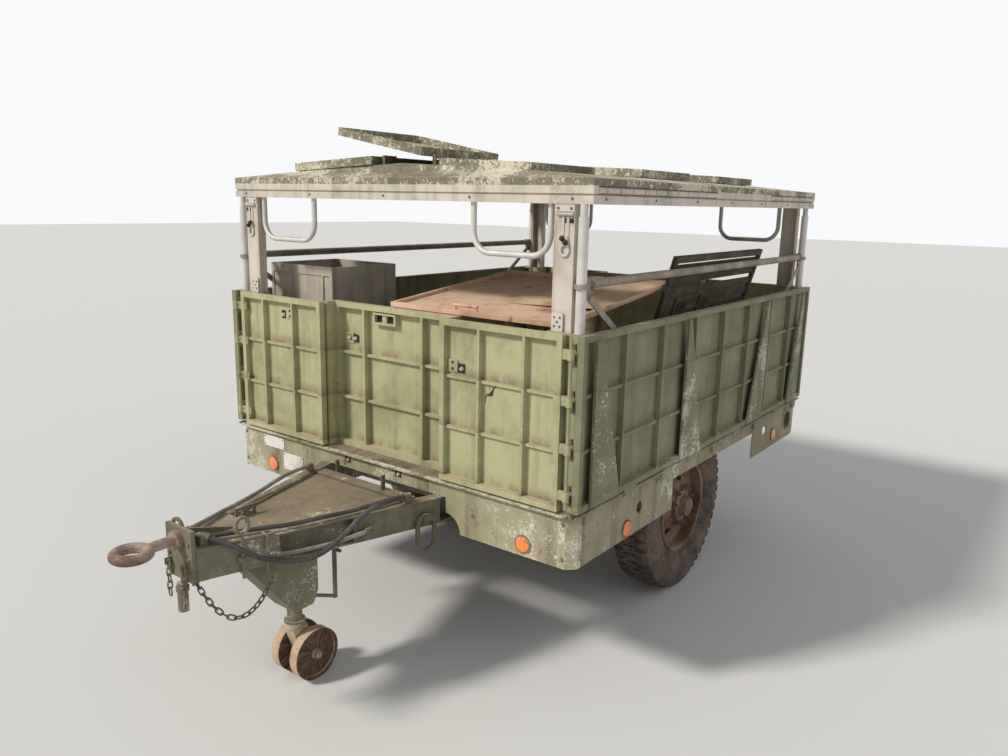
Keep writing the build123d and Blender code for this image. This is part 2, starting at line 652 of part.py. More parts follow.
def latch_plate(place):
    """A plate with two holes in the recess of a front left door."""
    back = -DOOR_THICK + 4.0
    y, z = DOOR_INNER + place[0], WALL_Z - place[1]
    body = block(back, back + 6.0, y - LATCH / 2.0, y + LATCH / 2.0, z - LATCH / 2.0, z + LATCH / 2.0)
    for hole in (z - 15.0, z + 15.0):
        body -= rod((back - 1.0, y, hole), (back + 7.0, y, hole), 8.0)
    return body


def door(latch=LATCH_LOW):
    """A ribbed corner door of the front left corner, with its hinge straps."""
    base = DECK_Z + GAP
    leaf = ribbed_panel(DOOR_OUTER - DOOR_INNER, WALL_Z - base, DOOR_THICK, DOOR_RIBS)
    leaf = Pos(FRONT, DOOR_INNER, base) * leaf
    for lift in HINGE_HEIGHTS:
        z = base + lift
        z0, z1 = z - KNUCKLE_LENGTH / 2.0, z + KNUCKLE_LENGTH / 2.0
        leaf += block(-KNUCKLE_R + 1.0, -3.0, DOOR_OUTER - 40.0, HINGE_Y, z0, z1)
        leaf += rod((0, HINGE_Y, z0), (0, HINGE_Y, z1), KNUCKLE_R)
    leaf -= rod((0, HINGE_Y, base - 50.0), (0, HINGE_Y, WALL_Z + 50.0), HINGE_ROD_R + PLAY)
    return (leaf + latch_plate(latch)).solid()


CORNER_PLATE = -45.0      # front face of the body to the back of the corner plate
LOCK_WIDTH = 56.0
LOCK_HEIGHT = 82.0
LOCK_HOLES = ((-14.0, 22.0), (14.0, 22.0), (0.0, 41.0), (-14.0, 60.0), (14.0, 60.0))   # across and up


def lock_plate(front):
    """The plate with five holes that stands on a corner post beside the roof post."""
    y = POST_INNER_Y + 36.0
    body = block(front, front + SHEET, y - LOCK_WIDTH / 2.0, y + LOCK_WIDTH / 2.0, WALL_Z - 1.0,
                 WALL_Z + LOCK_HEIGHT)
    for across, up in LOCK_HOLES:
        body -= rod((front - 1.0, y + across, WALL_Z + up), (front + 7.0, y + across, WALL_Z + up), 6.0)
    return body


def corner_post():
    """The hollow corner post that guides a roof post, and the rod that carries a door."""
    front = POST_FRONT + GAP + 1.0
    back = POST_FRONT - POST_DEPTH - GAP - 1.0
    inner_y = POST_INNER_Y - GAP - 1.0
    outer_y = POST_INNER_Y + POST_WIDTH + GAP + 1.0
    outer = block(front + SHEET, back - SHEET, inner_y - SHEET, outer_y + SHEET, DECK_Z, WALL_Z)
    hollow = block(front, back, inner_y, outer_y, DECK_Z + 10.0, WALL_Z + 10.0)
    plate_front = block(CORNER_PLATE, CORNER_PLATE + 4.0, inner_y - SHEET, FLOOR_HALF, DECK_Z, WALL_Z)
    foot = block(CORNER_PLATE, back - SHEET, inner_y - SHEET, FLOOR_HALF, DECK_Z, DECK_Z + 10.0)
    cap = block(CORNER_PLATE, back - SHEET, inner_y - SHEET, FLOOR_HALF, WALL_Z - 12.0, WALL_Z)
    body = outer + plate_front + foot + cap - hollow
    body -= rod((TUBE_X, TUBE_Y, DECK_Z + 10.0), (TUBE_X, TUBE_Y, WALL_Z + 10.0), TUBE_R + SEAT)
    base = DECK_Z + GAP
    for lift in HINGE_HEIGHTS:
        z = base + lift
        for way in (-1.0, 1.0):
            lug_z = z + way * (KNUCKLE_LENGTH / 2.0 + 2.0 + 10.0)
            body += block(CORNER_PLATE, 0.0, HINGE_Y - 9.0, HINGE_Y + 9.0, lug_z - 10.0, lug_z + 10.0)
    body += rod((0, HINGE_Y, base + 20.0), (0, HINGE_Y, WALL_Z - 10.0), HINGE_ROD_R)
    return (body + lock_plate(front)).solid()


def corner_posts():
    return group(four_corners(corner_post()))


def post_tube():
    """The round tube beside a corner post that guides a lift rod."""
    outer = rod((TUBE_X, TUBE_Y, TUBE_BOTTOM), (TUBE_X, TUBE_Y, TUBE_TOP), TUBE_R)
    bore = rod((TUBE_X, TUBE_Y, TUBE_BOTTOM - 1.0), (TUBE_X, TUBE_Y, TUBE_TOP + 1.0), TUBE_BORE)
    return outer - bore


def post_tubes():
    return group(four_corners(post_tube()))


COLLAR_R = TUBE_R + 9.0
BRACE_RUN = 230.0
BRACE_WIDTH = 30.0
BRACE_THICK = 8.0


def guard_end():
    """The end of a guard rail: a disc, an ear, a collar round the post tube and a flat brace."""
    disc = rod((GUARD_END, TUBE_Y, GUARD_Z), (GUARD_END + 4.0, TUBE_Y, GUARD_Z), GUARD_R + 7.0)
    ear = block(TUBE_X - TUBE_R, GUARD_END + 2.0, TUBE_Y - 4.0, TUBE_Y + 4.0, GUARD_Z - 68.0, GUARD_Z + 24.0)
    collar = rod((TUBE_X, TUBE_Y, GUARD_Z - 18.0), (TUBE_X, TUBE_Y, GUARD_Z + 2.0), COLLAR_R)
    brace_y = TUBE_Y + BRACE_THICK
    head = (GUARD_END + 20.0, brace_y, GUARD_Z - 60.0)
    foot = (GUARD_END - BRACE_RUN, brace_y, WALL_Z - 30.0)
    brace = flat_bar(head, foot, BRACE_WIDTH, BRACE_THICK)
    bore = rod((TUBE_X, TUBE_Y, GUARD_Z - 90.0), (TUBE_X, TUBE_Y, GUARD_Z + 90.0), TUBE_R + SEAT)
    return disc + ear + collar + brace - bore


def guard_rail():
    """The tube along one side, carried on collars round the post tubes."""
    bar = rod((GUARD_END, TUBE_Y, GUARD_Z), (-BODY_LENGTH - GUARD_END, TUBE_Y, GUARD_Z), GUARD_R)
    return (bar + guard_end() + to_rear(guard_end())).solid()


def guard_rails():
    return left_right(guard_rail())


# Triangular brackets: upright edge, way that each widens, width at the foot
GUSSETS = ((-105.0, -1.0, 255.0), (-1005.0, -1.0, 245.0), (TAIL + 815.0, 1.0, 245.0), (TAIL + 140.0, 1.0, 195.0))
GUSSET_TOP = 34.0


def platform():
    """A side platform folded up: a ribbed panel, its hinge knuckles and four flat triangular brackets."""
    length = BODY_LENGTH - 2.0 * PLATFORM_END
    base = DECK_Z + 2.0 * GAP
    height = WALL_Z - base
    panel = ribbed_panel(length, height, PLATFORM_THICK, PLATFORM_RIBS)
    panel = Pos(FRONT - PLATFORM_END, BODY_HALF, base) * (Rot(0, 0, 90) * panel)
    y, z = PLATFORM_AXIS_Y, PLATFORM_AXIS_Z
    for x in [(a + b) / 2.0 for a, b in zip(PLATFORM_LUGS, PLATFORM_LUGS[1:])]:
        panel += block(x - LUG, x + LUG, y - 12.0, y + 9.0, z, base + 20.0)
        panel += rod((x - LUG, y, z), (x + LUG, y, z), 12.0)
    panel -= rod((0, y, z), (-BODY_LENGTH, y, z), PLATFORM_ROD_R + PLAY)
    for x, way, foot in GUSSETS:
        outline = [(x, base + 6.0), (x + way * foot, base + 6.0), (x + way * GUSSET_TOP, WALL_Z - 30.0),
                   (x, WALL_Z - 30.0)]
        panel += side_plate(outline, BODY_HALF - 2.0, BODY_HALF + BRACKET_THICK)
    return panel.solid()


# Roof


def roof_rails():
    """The frame of stepped rails round the eaves."""
    x0 = -ROOF_INSET
    x1 = -BODY_LENGTH + ROOF_INSET
    top = ROOF_Z + RAIL_HEIGHT

    def ring(z0, z1, wall):
        """A rectangular ring whose outer faces are those of the rails."""
        outer = block(x0, x1, -ROOF_HALF, ROOF_HALF, z0, z1)
        return outer - block(x0 - wall, x1 + wall, -ROOF_HALF + wall, ROOF_HALF - wall, z0, z1)
    frame = ring(ROOF_Z, top, RAIL_THICK) - ring(GROOVE_Z, GROOVE_Z + GROOVE, GROOVE)
    for start, end in TRACKS:
        for side in (-1.0, 1.0):
            inner, outer = side * (ROOF_HALF - TRACK_DEPTH), side * (ROOF_HALF + 1.0)
            frame -= block(start, end, inner, outer, TRACK_Z - 18.0, top + 1.0)
    return group([frame.solid()] + track(1.0) + track(-1.0))


GROOVE = 8.0
GROOVE_Z = ROOF_Z + 34.0
TRACKS = ((-100.0, -1300.0), (TAIL + 900.0, TAIL + 100.0))   # front and rear ends of the curtain tracks
TRACK_DEPTH = 20.0
TRACK_R = 13.0
TRACK_Z = ROOF_Z + 56.0
TRACK_PITCH = 110.0


def track(side):
    """The notched tubes let into one long roof rail."""
    y = ROOF_HALF - TRACK_DEPTH + TRACK_R + SEAT
    parts = []
    for x0, x1 in TRACKS:
        tube = rod((x0 - SEAT, y, TRACK_Z), (x1 + SEAT, y, TRACK_Z), TRACK_R)
        for i in range(int((x0 - x1) / TRACK_PITCH)):
            x = x0 - TRACK_PITCH * (i + 0.5)
            tube -= block(x, x - 12.0, y + 4.0, y + TRACK_R + 1.0, TRACK_Z - TRACK_R, TRACK_Z + TRACK_R)
        parts.append(tube if side > 0 else to_right(tube))
    return parts


def hip_form(shrink, drop, base):
    """The low hipped form of the roof, as a solid down to a base height."""
    x_mid = MIDDLE
    length = BODY_LENGTH - 2.0 * ROOF_INSET - 2.0 * shrink
    width = 2.0 * (ROOF_HALF - shrink)
    eave = ROOF_Z + RAIL_HEIGHT + EAVE_EDGE - drop
    wall = Pos(x_mid, 0, (base + eave) / 2.0) * Box(length, width, eave - base)
    low = Pos(x_mid, 0, eave) * Rectangle(length, width)
    mid = Pos(x_mid, 0, eave + DECK_RISE) * Rectangle(length - 2.0 * HIP_END, width - 2.0 * HIP)
    high = Pos(x_mid, 0, eave + DECK_RISE + RIDGE_RISE) * Rectangle(length - 2.0 * HIP_END - 30.0, 6.0)
    return wall + loft([low, mid]) + loft([mid, high])


def hatch_slope():
    """Tilt of the upper roof, in degrees, from its edge to the ridge."""
    return degrees(atan2(RIDGE_RISE, ROOF_HALF - HIP - 3.0))


def on_slope(part, x, side):
    """Places a piece made about the inner edge of a hatch, +Y outwards, on one side of the roof."""
    eave = ROOF_Z + RAIL_HEIGHT + EAVE_EDGE
    z = eave + DECK_RISE + RIDGE_RISE - (HATCH_INNER - 3.0) * tan(radians(hatch_slope())) + 4.0
    placed = Pos(FRONT + x, HATCH_INNER, z) * (Rot(-hatch_slope(), 0, 0) * part)
    return placed if side > 0 else placed.mirror(Plane.XZ)


def curb():
    """The raised rim round a hatch opening."""
    y = HATCH / 2.0
    ring = Pos(0, y, 5.0) * Box(CURB + 2.0 * CURB_WALL, CURB + 2.0 * CURB_WALL, 50.0)
    return ring - Pos(0, y, 5.0) * Box(CURB, CURB, 60.0)


def hatch_lugs():
    """The lugs and pins of a hatch hinge, standing on the roof."""
    parts = []
    for x in HATCH_HINGES:
        pin = Pos(x, HATCH_AXIS_Y, HATCH_AXIS_Z) * Cylinder(HATCH_PIN_R, 88.0, rotation=(0, 90, 0))
        for lug_x in (x - 38.0, x + 38.0):
            lug = Box(12.0, 16.0, HATCH_AXIS_Z + 24.0)
            pin += Pos(lug_x, HATCH_AXIS_Y, HATCH_AXIS_Z / 2.0 - 2.0) * lug
        parts.append(pin)
    return parts[0] + parts[1]


def roof_skin():
    """The roof shell with its six hatch openings and their curbs."""
    base = ROOF_Z + RAIL_HEIGHT
    shell = hip_form(0.0, 0.0, base) - hip_form(ROOF_SKIN, ROOF_SKIN, base - 50.0)
    for x in HATCH_STATIONS:
        for side in (-1.0, 1.0):
            opening = Pos(0, HATCH / 2.0, 0) * Box(CURB, CURB, 160.0)
            shell += on_slope(curb(), x, side)
            shell += on_slope(hatch_lugs(), x, side)
            shell -= on_slope(opening, x, side)
    return shell.solid()


def hatch_lid(turn=0.0):
    """A shallow pan, open below, turned about its hinge line; Y from its inner edge outwards."""
    lid = Pos(0, HATCH / 2.0, HATCH_DEPTH / 2.0) * Box(HATCH, HATCH, HATCH_DEPTH)
    inside = HATCH - 2.0 * HATCH_WALL
    lid -= Pos(0, HATCH / 2.0, HATCH_DEPTH / 2.0 - HATCH_WALL) * Box(inside, inside, HATCH_DEPTH)
    for x in HATCH_HINGES:
        lid += Pos(x, HATCH_AXIS_Y / 2.0 + 5.0, HATCH_DEPTH - 5.0) * Box(60.0, 10.0 - HATCH_AXIS_Y, 10.0)
        lid += Pos(x, HATCH_AXIS_Y, HATCH_AXIS_Z) * Cylinder(10.0, 60.0, rotation=(0, 90, 0))
        lid -= Pos(x, HATCH_AXIS_Y, HATCH_AXIS_Z) * Cylinder(HATCH_PIN_R + PLAY, 100.0, rotation=(0, 90, 0))
    turned = Rot(turn, 0, 0) * (Pos(0, -HATCH_AXIS_Y, -HATCH_AXIS_Z) * lid)
    return Pos(0, HATCH_AXIS_Y, HATCH_AXIS_Z) * turned


def roof_posts():
    """Four open channels under the rails that slide in the corner posts, with their fittings."""
    x0, x1 = POST_FRONT, POST_FRONT - POST_DEPTH
    y0, y1 = POST_INNER_Y, POST_INNER_Y + POST_WIDTH
    outer = block(x0, x1, y0, y1, DECK_Z + 15.0, ROOF_Z)
    inner = block(x0 - POST_WALL, x1, y0 + POST_WALL, y1 - POST_WALL, DECK_Z + 15.0, ROOF_Z)
    return group(four_corners((outer - inner + post_fitting()).solid()))


def post_fitting():
    """The strap on a roof post with its cross pin, its hook and the ring that hangs from it."""
    y = POST_INNER_Y + 57.0
    strap = block(POST_FRONT, POST_FRONT + 4.0, y - 18.0, y - 6.0, ROOF_Z - 136.0, ROOF_Z - 34.0)
    strap += block(POST_FRONT, POST_FRONT + 4.0, y + 6.0, y + 18.0, ROOF_Z - 136.0, ROOF_Z - 34.0)
    pin = rod((POST_FRONT + 8.0, y - 40.0, ROOF_Z - 41.0), (POST_FRONT + 8.0, y + 40.0, ROOF_Z - 41.0), 7.0)
    hook = block(POST_FRONT, POST_FRONT + 12.0, y - 15.0, y + 15.0, ROOF_Z - 166.0, ROOF_Z - 130.0)
    ring = upright_loop(52.0, 44.0, 8.0, 8.0, across=True)
    return (strap + pin + hook + Pos(FRONT + POST_FRONT + 5.0, y, ROOF_Z - 188.0) * ring).solid()


def lift_rods():
    """Four rods under the rails that slide in the post tubes."""
    foot = TUBE_TOP - ROOF_LIFT - 120.0
    return group(four_corners(rod((TUBE_X, TUBE_Y, foot), (TUBE_X, TUBE_Y, ROOF_Z), LIFT_ROD_R)))


LOOP_OUTER = POST_INNER_Y - 33.0
LOOP_INNER = LOOP_OUTER - 420.0
LOOP_DROP = 236.0
LOOP_R = 14.0
LOOP_CORNER = 95.0
LOOP_X = -90.0


def roof_loop():
    """A bent tube hanging below an end rail."""
    x = FRONT + LOOP_X
    low = ROOF_Z - LOOP_DROP + LOOP_R
    points = [(x, LOOP_INNER, ROOF_Z), (x, LOOP_INNER, low), (x, LOOP_OUTER, low), (x, LOOP_OUTER, ROOF_Z)]
    path = FilletPolyline(*points, radius=LOOP_CORNER)
    section = Plane(origin=points[0], z_dir=(0, 0, -1)) * Circle(LOOP_R)
    return sweep(section, path=path)


def roof_loops():
    return group(four_corners(roof_loop().solid()))


# Loops, chains and fittings of the drawbar


def loop_outline(length, width, steps=4):
    """Points round a long loop with stepped round ends, length along the first axis."""
    radius = width / 2.0
    straight = length / 2.0 - radius
    turns = [radians(-90.0 + 180.0 * i / steps) for i in range(steps + 1)]
    end = [(straight + radius * cos(turn), radius * sin(turn)) for turn in turns]
    return end + [(-u, -v) for u, v in end]


def loop(length, width, bar, thick, steps=4):
    """A closed link, flat in the XY plane about its centre, length along X."""
    outer = make_face(Polyline(*loop_outline(length, width, steps), close=True))
    inner = make_face(Polyline(*loop_outline(length - 2.0 * bar, width - 2.0 * bar, steps), close=True))
    return Pos(0, 0, -thick / 2.0) * extrude(outer - inner, amount=thick)


def upright_loop(height, width, bar, thick, across=False, steps=4):
    """A link standing on its end, seen from the side, or from the front if across."""
    standing = Rot(90, 0, 0) * (Rot(0, 0, 90) * loop(height, width, bar, thick, steps))
    return Rot(0, 0, 90) * standing if across else standing


def on_rail(part, x, side=1.0):
    """Places a piece made against the outer face of a drawbar rail: X along it, Y outwards."""
    turn = degrees(atan2(NOSE_OUTER - RAIL_OUTER, NOSE_X))
    placed = Pos(FRONT + x, rail_line(x), 0) * (Rot(0, 0, turn) * part)
    return placed if side > 0 else to_right(placed)


TIE_RING_X = 85.0
TIE_RING_Z = 705.0
TIE_RING_HEIGHT = 195.0
TIE_RING_WIDTH = 110.0
TIE_RING_BAR = 18.0
TIE_PEG = 14.6


def tie_ring():
    """A long ring on a peg on the outer face of a drawbar rail."""
    bar = TIE_RING_BAR
    ring = Pos(0, 17.0, TIE_RING_Z) * upright_loop(TIE_RING_HEIGHT, TIE_RING_WIDTH, bar, bar, steps=8)
    peg_z = TIE_RING_Z + TIE_RING_HEIGHT / 2.0 - bar - TIE_PEG / 2.0 - 0.7
    peg = Pos(0, 17.0, peg_z) * Box(26.0, 34.0, TIE_PEG)
    head = Pos(0, 32.0, peg_z) * Box(40.0, 4.0, 26.0)
    return [ring, peg + head]


LINK = 45.0               # length of a chain link
LINK_WIDTH = 27.0
LINK_BAR = 7.0
LINK_PITCH = LINK - 2.0 * LINK_BAR - 0.8
LUG_R = 9.0               # hole in the lugs that carry chains and rings
CHAIN_LUGS = ((NOSE_X + 74.0, 50.0, 792.0), (NOSE_X + 74.0, -62.0, 792.0))
LONG_CHAIN_LUG = (NOSE_X + 26.0, 50.0, 712.0)
SHACKLE_LUG = (NOSE_X + 26.0, -56.0, 892.0)
EYE_ROD_X = 930.0
HOOK_X = 830.0
HOOK_Z = 682.0
HOOK_R = 5.0
HOOK_Y = 190.0
HOOK_REACH = 52.0
HOOK_PLAY = 1.2           # last link to the hook, whose rod crosses it at an angle
CHAIN_SAG = 172.0
CHAIN_LINKS = 16


def link_at(centre, ahead, turned):
    """A chain link about a point, lying along a direction."""
    side = Vector(0, 1, 0)
    across = side.cross(ahead) if turned else side - ahead * side.dot(ahead)
    plane = Plane(origin=centre, x_dir=ahead, z_dir=across)
    return plane * loop(LINK, LINK_WIDTH, LINK_BAR, LINK_BAR)


def hanging_chain(lug, links):
    """A short chain straight down from a lug."""
    x, y, z = lug
    top = z - (LINK - LINK_BAR) / 2.0
    down = Vector(0, 0, -1)
    return [link_at(Vector(FRONT + x, y, top - LINK_PITCH * i), down, i % 2 == 0) for i in range(links)]


def sagging_chain():
    """The long chain that hangs from under the nose to the hook on the left rail."""
    start = Vector(FRONT + LONG_CHAIN_LUG[0], LONG_CHAIN_LUG[1], LONG_CHAIN_LUG[2])
    end = Vector(FRONT + HOOK_X, HOOK_Y + HOOK_REACH / 2.0, HOOK_Z)

    def place(share):
        point = start + (end - start) * share
        return Vector(point.X, point.Y, point.Z - 4.0 * CHAIN_SAG * share * (1.0 - share))
    steps = 2000
    path = [place(i / steps) for i in range(steps + 1)]
    lengths = [0.0]
    for a, b in zip(path, path[1:]):
        lengths.append(lengths[-1] + (b - a).length)
    first = (LINK - LINK_BAR) / 2.0
    last = lengths[-1] - (LINK / 2.0 - LINK_BAR - HOOK_R - HOOK_PLAY)
    links = []
    for i in range(CHAIN_LINKS):
        target = first + (last - first) * i / (CHAIN_LINKS - 1)
        k = min(range(1, steps), key=lambda j: abs(lengths[j] - target))
        ahead = (path[k + 1] - path[k - 1]).normalized()
        links.append(link_at(path[k], ahead, i % 2 == 0))
    return links


def safety_chains():
    links = sagging_chain() + hanging_chain(CHAIN_LUGS[0], 6) + hanging_chain(CHAIN_LUGS[1], 5)
    return group(links)


def lug_plate(lug, x0, x1, z0, z1):
    """A plate along X with a hole across it at the lug's point."""
    x, y, z = lug
    body = block(x0, x1, y - 3.0, y + 3.0, z0, z1)
    return body - rod((x, y - 5.0, z), (x, y + 5.0, z), LUG_R)


def chain_hook():
    """The bent rod over the left rail that the long chain hangs on."""
    top = RAIL_TOP + 10.0 + HOOK_R + SEAT
    points = [(HOOK_X, HOOK_Y - 32.0, top), (HOOK_X, HOOK_Y, top), (HOOK_X, HOOK_Y, HOOK_Z),
              (HOOK_X, HOOK_Y + HOOK_REACH, HOOK_Z), (HOOK_X, HOOK_Y + HOOK_REACH, HOOK_Z + 40.0)]
    path = FilletPolyline(*[(FRONT + x, y, z) for x, y, z in points], radius=14.0)
    section = Plane(origin=path @ 0, z_dir=path % 0) * Circle(HOOK_R)
    return sweep(section, path=path).solid()


def hanging_plug():
    """The plug that hangs under the nose on a rod."""
    x, y = 1110.0, -10.0
    foot = RAIL_TOP - RAIL_DEPTH - 5.0
    body = rod((x, y, foot - 150.0), (x, y, foot - 25.0), 22.0)
    body += rod((x, y, foot - 60.0), (x, y, foot - 40.0), 27.0)
    return (body + rod((x, y, foot - 30.0), (x, y, foot), 5.0)).solid()


EYE_ROD_R = 7.0
EYE_ROD_AWAY = 16.0       # outer face of the rail to the rod
EYE_ROD_LOW = 705.0
EYE_Z = 940.0


def eye_rod():
    """The upright rod with an eye at its top, outside the left rail."""
    x, y = EYE_ROD_X, rail_line(EYE_ROD_X) + EYE_ROD_AWAY
    eye = Pos(FRONT + x, y, EYE_Z) * upright_loop(82.0, 76.0, 14.0, 14.0, steps=8)
    return eye + rod((x, y, EYE_ROD_LOW), (x, y, EYE_Z - 34.0), EYE_ROD_R)


def eye_rod_clip():
    """The block on the left rail that holds the eye rod."""
    y = rail_line(EYE_ROD_X) + EYE_ROD_AWAY
    clip = on_rail(Pos(0, 15.0, 790.0) * Box(30.0, 30.0, 18.0), EYE_ROD_X)
    return clip - rod((EYE_ROD_X, y, 700.0), (EYE_ROD_X, y, 900.0), EYE_ROD_R + SEAT)


def drawbar_rings():
    """The ring in its lug on the nose, the rod with an eye and a tie ring on each rail."""
    x, y, z = SHACKLE_LUG
    ring = Pos(FRONT + x, y, z + 35.0) * upright_loop(82.0, 82.0, 12.0, 12.0, across=True, steps=8)
    ties = [on_rail(piece, TIE_RING_X, side) for piece in tie_ring() for side in (-1.0, 1.0)]
    return group([ring, eye_rod()] + ties)


def drawbar_lugs():
    """The plates that the chains and the nose ring hang on."""
    nose_face = NOSE_X + 60.0
    nose_top = RAIL_TOP + 10.0
    parts = [lug_plate(lug, nose_face, lug[0] + 16.0, lug[2] - 14.0, lug[2] + 14.0) for lug in CHAIN_LUGS]
    parts.append(lug_plate(SHACKLE_LUG, NOSE_X + 12.0, NOSE_X + 40.0, nose_top, nose_top + 38.0))
    x, _, z = LONG_CHAIN_LUG
    parts.append(lug_plate(LONG_CHAIN_LUG, x - 15.0, NOSE_X + 40.0, z - 14.0, RAIL_TOP - RAIL_DEPTH + 30.0))
    return parts


EAR_X = (670.0, 780.0)
EAR_Y = -110.0
EAR_HOLES = (700.0, 750.0)
LEVER_Y = -250.0
LEVER_Z = (705.0, 920.0)
LEVER_PIVOT = (44.0, 805.0)
STUB_LEVER = (100.0, 140.0)
STUB_TOP = 936.0


def drawbar_levers():
    """The drilled ear on the plate, the tall lever with its rod and the short lever."""
    ear = block(EAR_X[0], EAR_X[1], EAR_Y, EAR_Y + 8.0, TRAY_TOP, TRAY_TOP + 50.0)
    for x in EAR_HOLES:
        ear -= rod((x, EAR_Y - 2.0, TRAY_TOP + 28.0), (x, EAR_Y + 10.0, TRAY_TOP + 28.0), 11.0)
    x, z = LEVER_PIVOT
    tall = flat_bar((x - 6.0, LEVER_Y, LEVER_Z[0]), (x + 6.0, LEVER_Y, LEVER_Z[1]), 22.0, 10.0)
    tall += rod((x, LEVER_Y, z), (DECK_FRONT - 51.0, LEVER_Y, z), 8.0)
    x, y = STUB_LEVER
    return [ear, tall, flat_bar((x, y, RAIL_TOP), (x, y, STUB_TOP), 24.0, 8.0)]


def drawbar_fittings():
    """The small plates, lugs and levers fixed to the drawbar."""
    return group(drawbar_lugs() + drawbar_levers() + [eye_rod_clip(), chain_hook(), hanging_plug()])


# Hoses of the drawbar: radius, then the points that each follows
HOSES = {
    "hose_black": (12.0, [(170.0, 352.0, 893.0), (285.0, 350.0, 903.0), (410.0, 346.0, 893.0),
                          (510.0, 326.0, 815.0), (640.0, 292.0, 735.0), (770.0, 245.0, 745.0),
                          (900.0, 205.0, 800.0), (985.0, 160.0, 875.0), (1035.0, 88.0, 900.0)]),
    "hose_grey": (10.0, [(170.0, 320.0, 885.0), (290.0, 300.0, 884.0), (420.0, 272.0, 879.0),
                         (560.0, 238.0, 884.0), (690.0, 196.0, 880.0), (820.0, 146.0, 889.0),
                         (930.0, 100.0, 893.0), (1030.0, 52.0, 893.0)]),
    "hose_pale": (10.0, [(400.0, 330.0, 785.0), (500.0, 306.0, 775.0), (600.0, 273.0, 769.0),
                         (700.0, 236.0, 768.0), (780.0, 210.0, 774.0)]),
    "hose_far": (10.0, [(170.0, -350.0, 890.0), (280.0, -322.0, 902.0), (400.0, -286.0, 900.0),
                        (530.0, -246.0, 886.0), (670.0, -203.0, 881.0), (800.0, -160.0, 884.0),
                        (920.0, -115.0, 886.0), (1030.0, -68.0, 894.0)]),
}
COUPLING = 36.0


def bend_radii(points):
    """The largest bend radius for each inner corner that leaves a tenth of the runs beside it straight."""
    corners = [Vector(*point) for point in points]
    radii = []
    for a, b, c in zip(corners, corners[1:], corners[2:]):
        before, after = b - a, c - b
        half_turn = radians(before.get_angle(after)) / 2.0
        radii.append(round(0.45 * min(before.length, after.length) / tan(half_turn), 1))
    return radii


def hose(name):
    radius, points = HOSES[name]
    placed = [(FRONT + x, y, z) for x, y, z in points]
    path = FilletPolyline(*placed, radius=bend_radii(points))
    section = Plane(origin=placed[0], z_dir=path % 0) * Circle(radius)
    return sweep(section, path=path).solid()


def coupling(end, beside, radius):
    """A round coupling that takes a hose's end face to face and carries on in its line."""
    stop = Vector(*end)
    way = (stop - Vector(*beside)).normalized()
    return rod(tuple(stop), tuple(stop + way * COUPLING), radius + 5.0)


def hose_couplings():
    """The couplings at the hoses' ends and the blocks that carry them."""
    ends = {}
    for name, (radius, points) in HOSES.items():
        ends[name] = (coupling(points[0], points[1], radius), coupling(points[-1], points[-2], radius))
    low = RAIL_TOP
    nose = RAIL_TOP + 10.0
    left_stand = block(138.0, 166.0, 305.0, 368.0, low, 885.0)
    right_stand = block(138.0, 166.0, -366.0, -330.0, low, 885.0)
    left_block = block(1040.0, 1072.0, 26.0, 84.0, nose, 912.0)
    right_block = block(1042.0, 1072.0, -72.0, -36.0, nose, 908.0)
    stub = on_rail(Pos(0, 17.0, 785.0) * Box(24.0, 34.0, 30.0), 380.0)
    clip = on_rail(Pos(0, 15.0, 776.0) * Box(28.0, 30.0, 30.0), 806.0)
    start = {name: pair[0] for name, pair in ends.items()}
    stop = {name: pair[1] for name, pair in ends.items()}
    return group([left_stand + start["hose_black"] + start["hose_grey"], right_stand + start["hose_far"],
                  left_block + stop["hose_black"] + stop["hose_grey"], right_block + stop["hose_far"],
                  stub + start["hose_pale"], clip + stop["hose_pale"]])


# Reflectors and blank plates

LENS_R = 42.0
LENS_THICK = 8.0
END_LENSES = ((SKIRT_Y - 265.0, 750.0), (-SKIRT_Y + 300.0, 750.0))   # Y and Z
SIDE_LENSES = ((-500.0, 742.0), (TAIL + 470.0, 771.0))               # X and Z


def reflectors():
    """Round reflectors on the front, the rear and both sides."""
    parts = []
    for y, z in END_LENSES:
        disc = rod((SKIRT_FACE, y, z), (SKIRT_FACE + LENS_THICK, y, z), LENS_R)
        disc += rod((SKIRT_FACE, y, z), (SKIRT_FACE + LENS_THICK + 4.0, y, z), LENS_R - 8.0)
        parts += [disc, to_rear(disc)]
    for x, z in SIDE_LENSES:
        disc = rod((x, SKIRT_Y, z), (x, SKIRT_Y + LENS_THICK, z), LENS_R)
        disc += rod((x, SKIRT_Y, z), (x, SKIRT_Y + LENS_THICK + 4.0, z), LENS_R - 8.0)
        parts += [disc, to_right(disc)]
    return group(parts)


# Inside


CABINET = (-250.0, -750.0, -BODY_HALF + 62.0, -600.0)   # front, back, right and left faces
CABINET_TOP = 1890.0
CABINET_WALL = 14.0


def cabinet():
    """An open-topped cabinet with a shelf."""
    x0, x1, y0, y1 = CABINET
    wall = CABINET_WALL
    shell = block(x0, x1, y0, y1, DECK_Z, CABINET_TOP)
    shell -= block(x0 - wall, x1 + wall, y0 + wall, y1 - wall, DECK_Z + 520.0, CABINET_TOP + 10.0)
    shell -= block(x0 - wall, x1 + wall, y0 + wall, y1 - wall, DECK_Z + wall, DECK_Z + 506.0)
    shell -= block(x0 - 6.0, x0 + 1.0, y0 + 20.0, y1 - 90.0, DECK_Z + 150.0, CABINET_TOP - 50.0)
    shell -= block(x0 - 9.0, x0 + 1.0, y1 - 80.0, y1 - 22.0, DECK_Z + 150.0, CABINET_TOP - 50.0)
    return shell.solid()


TABLE_X = (-126.0, -1140.0)
TABLE_Y = (-20.0, BODY_HALF - 180.0)
TABLE_Z = 1763.0
TABLE_RISE = 110.0
TABLE_SHEET = 6.0
TABLE_LIP = 24.0
TABLE_LEG = 34.0


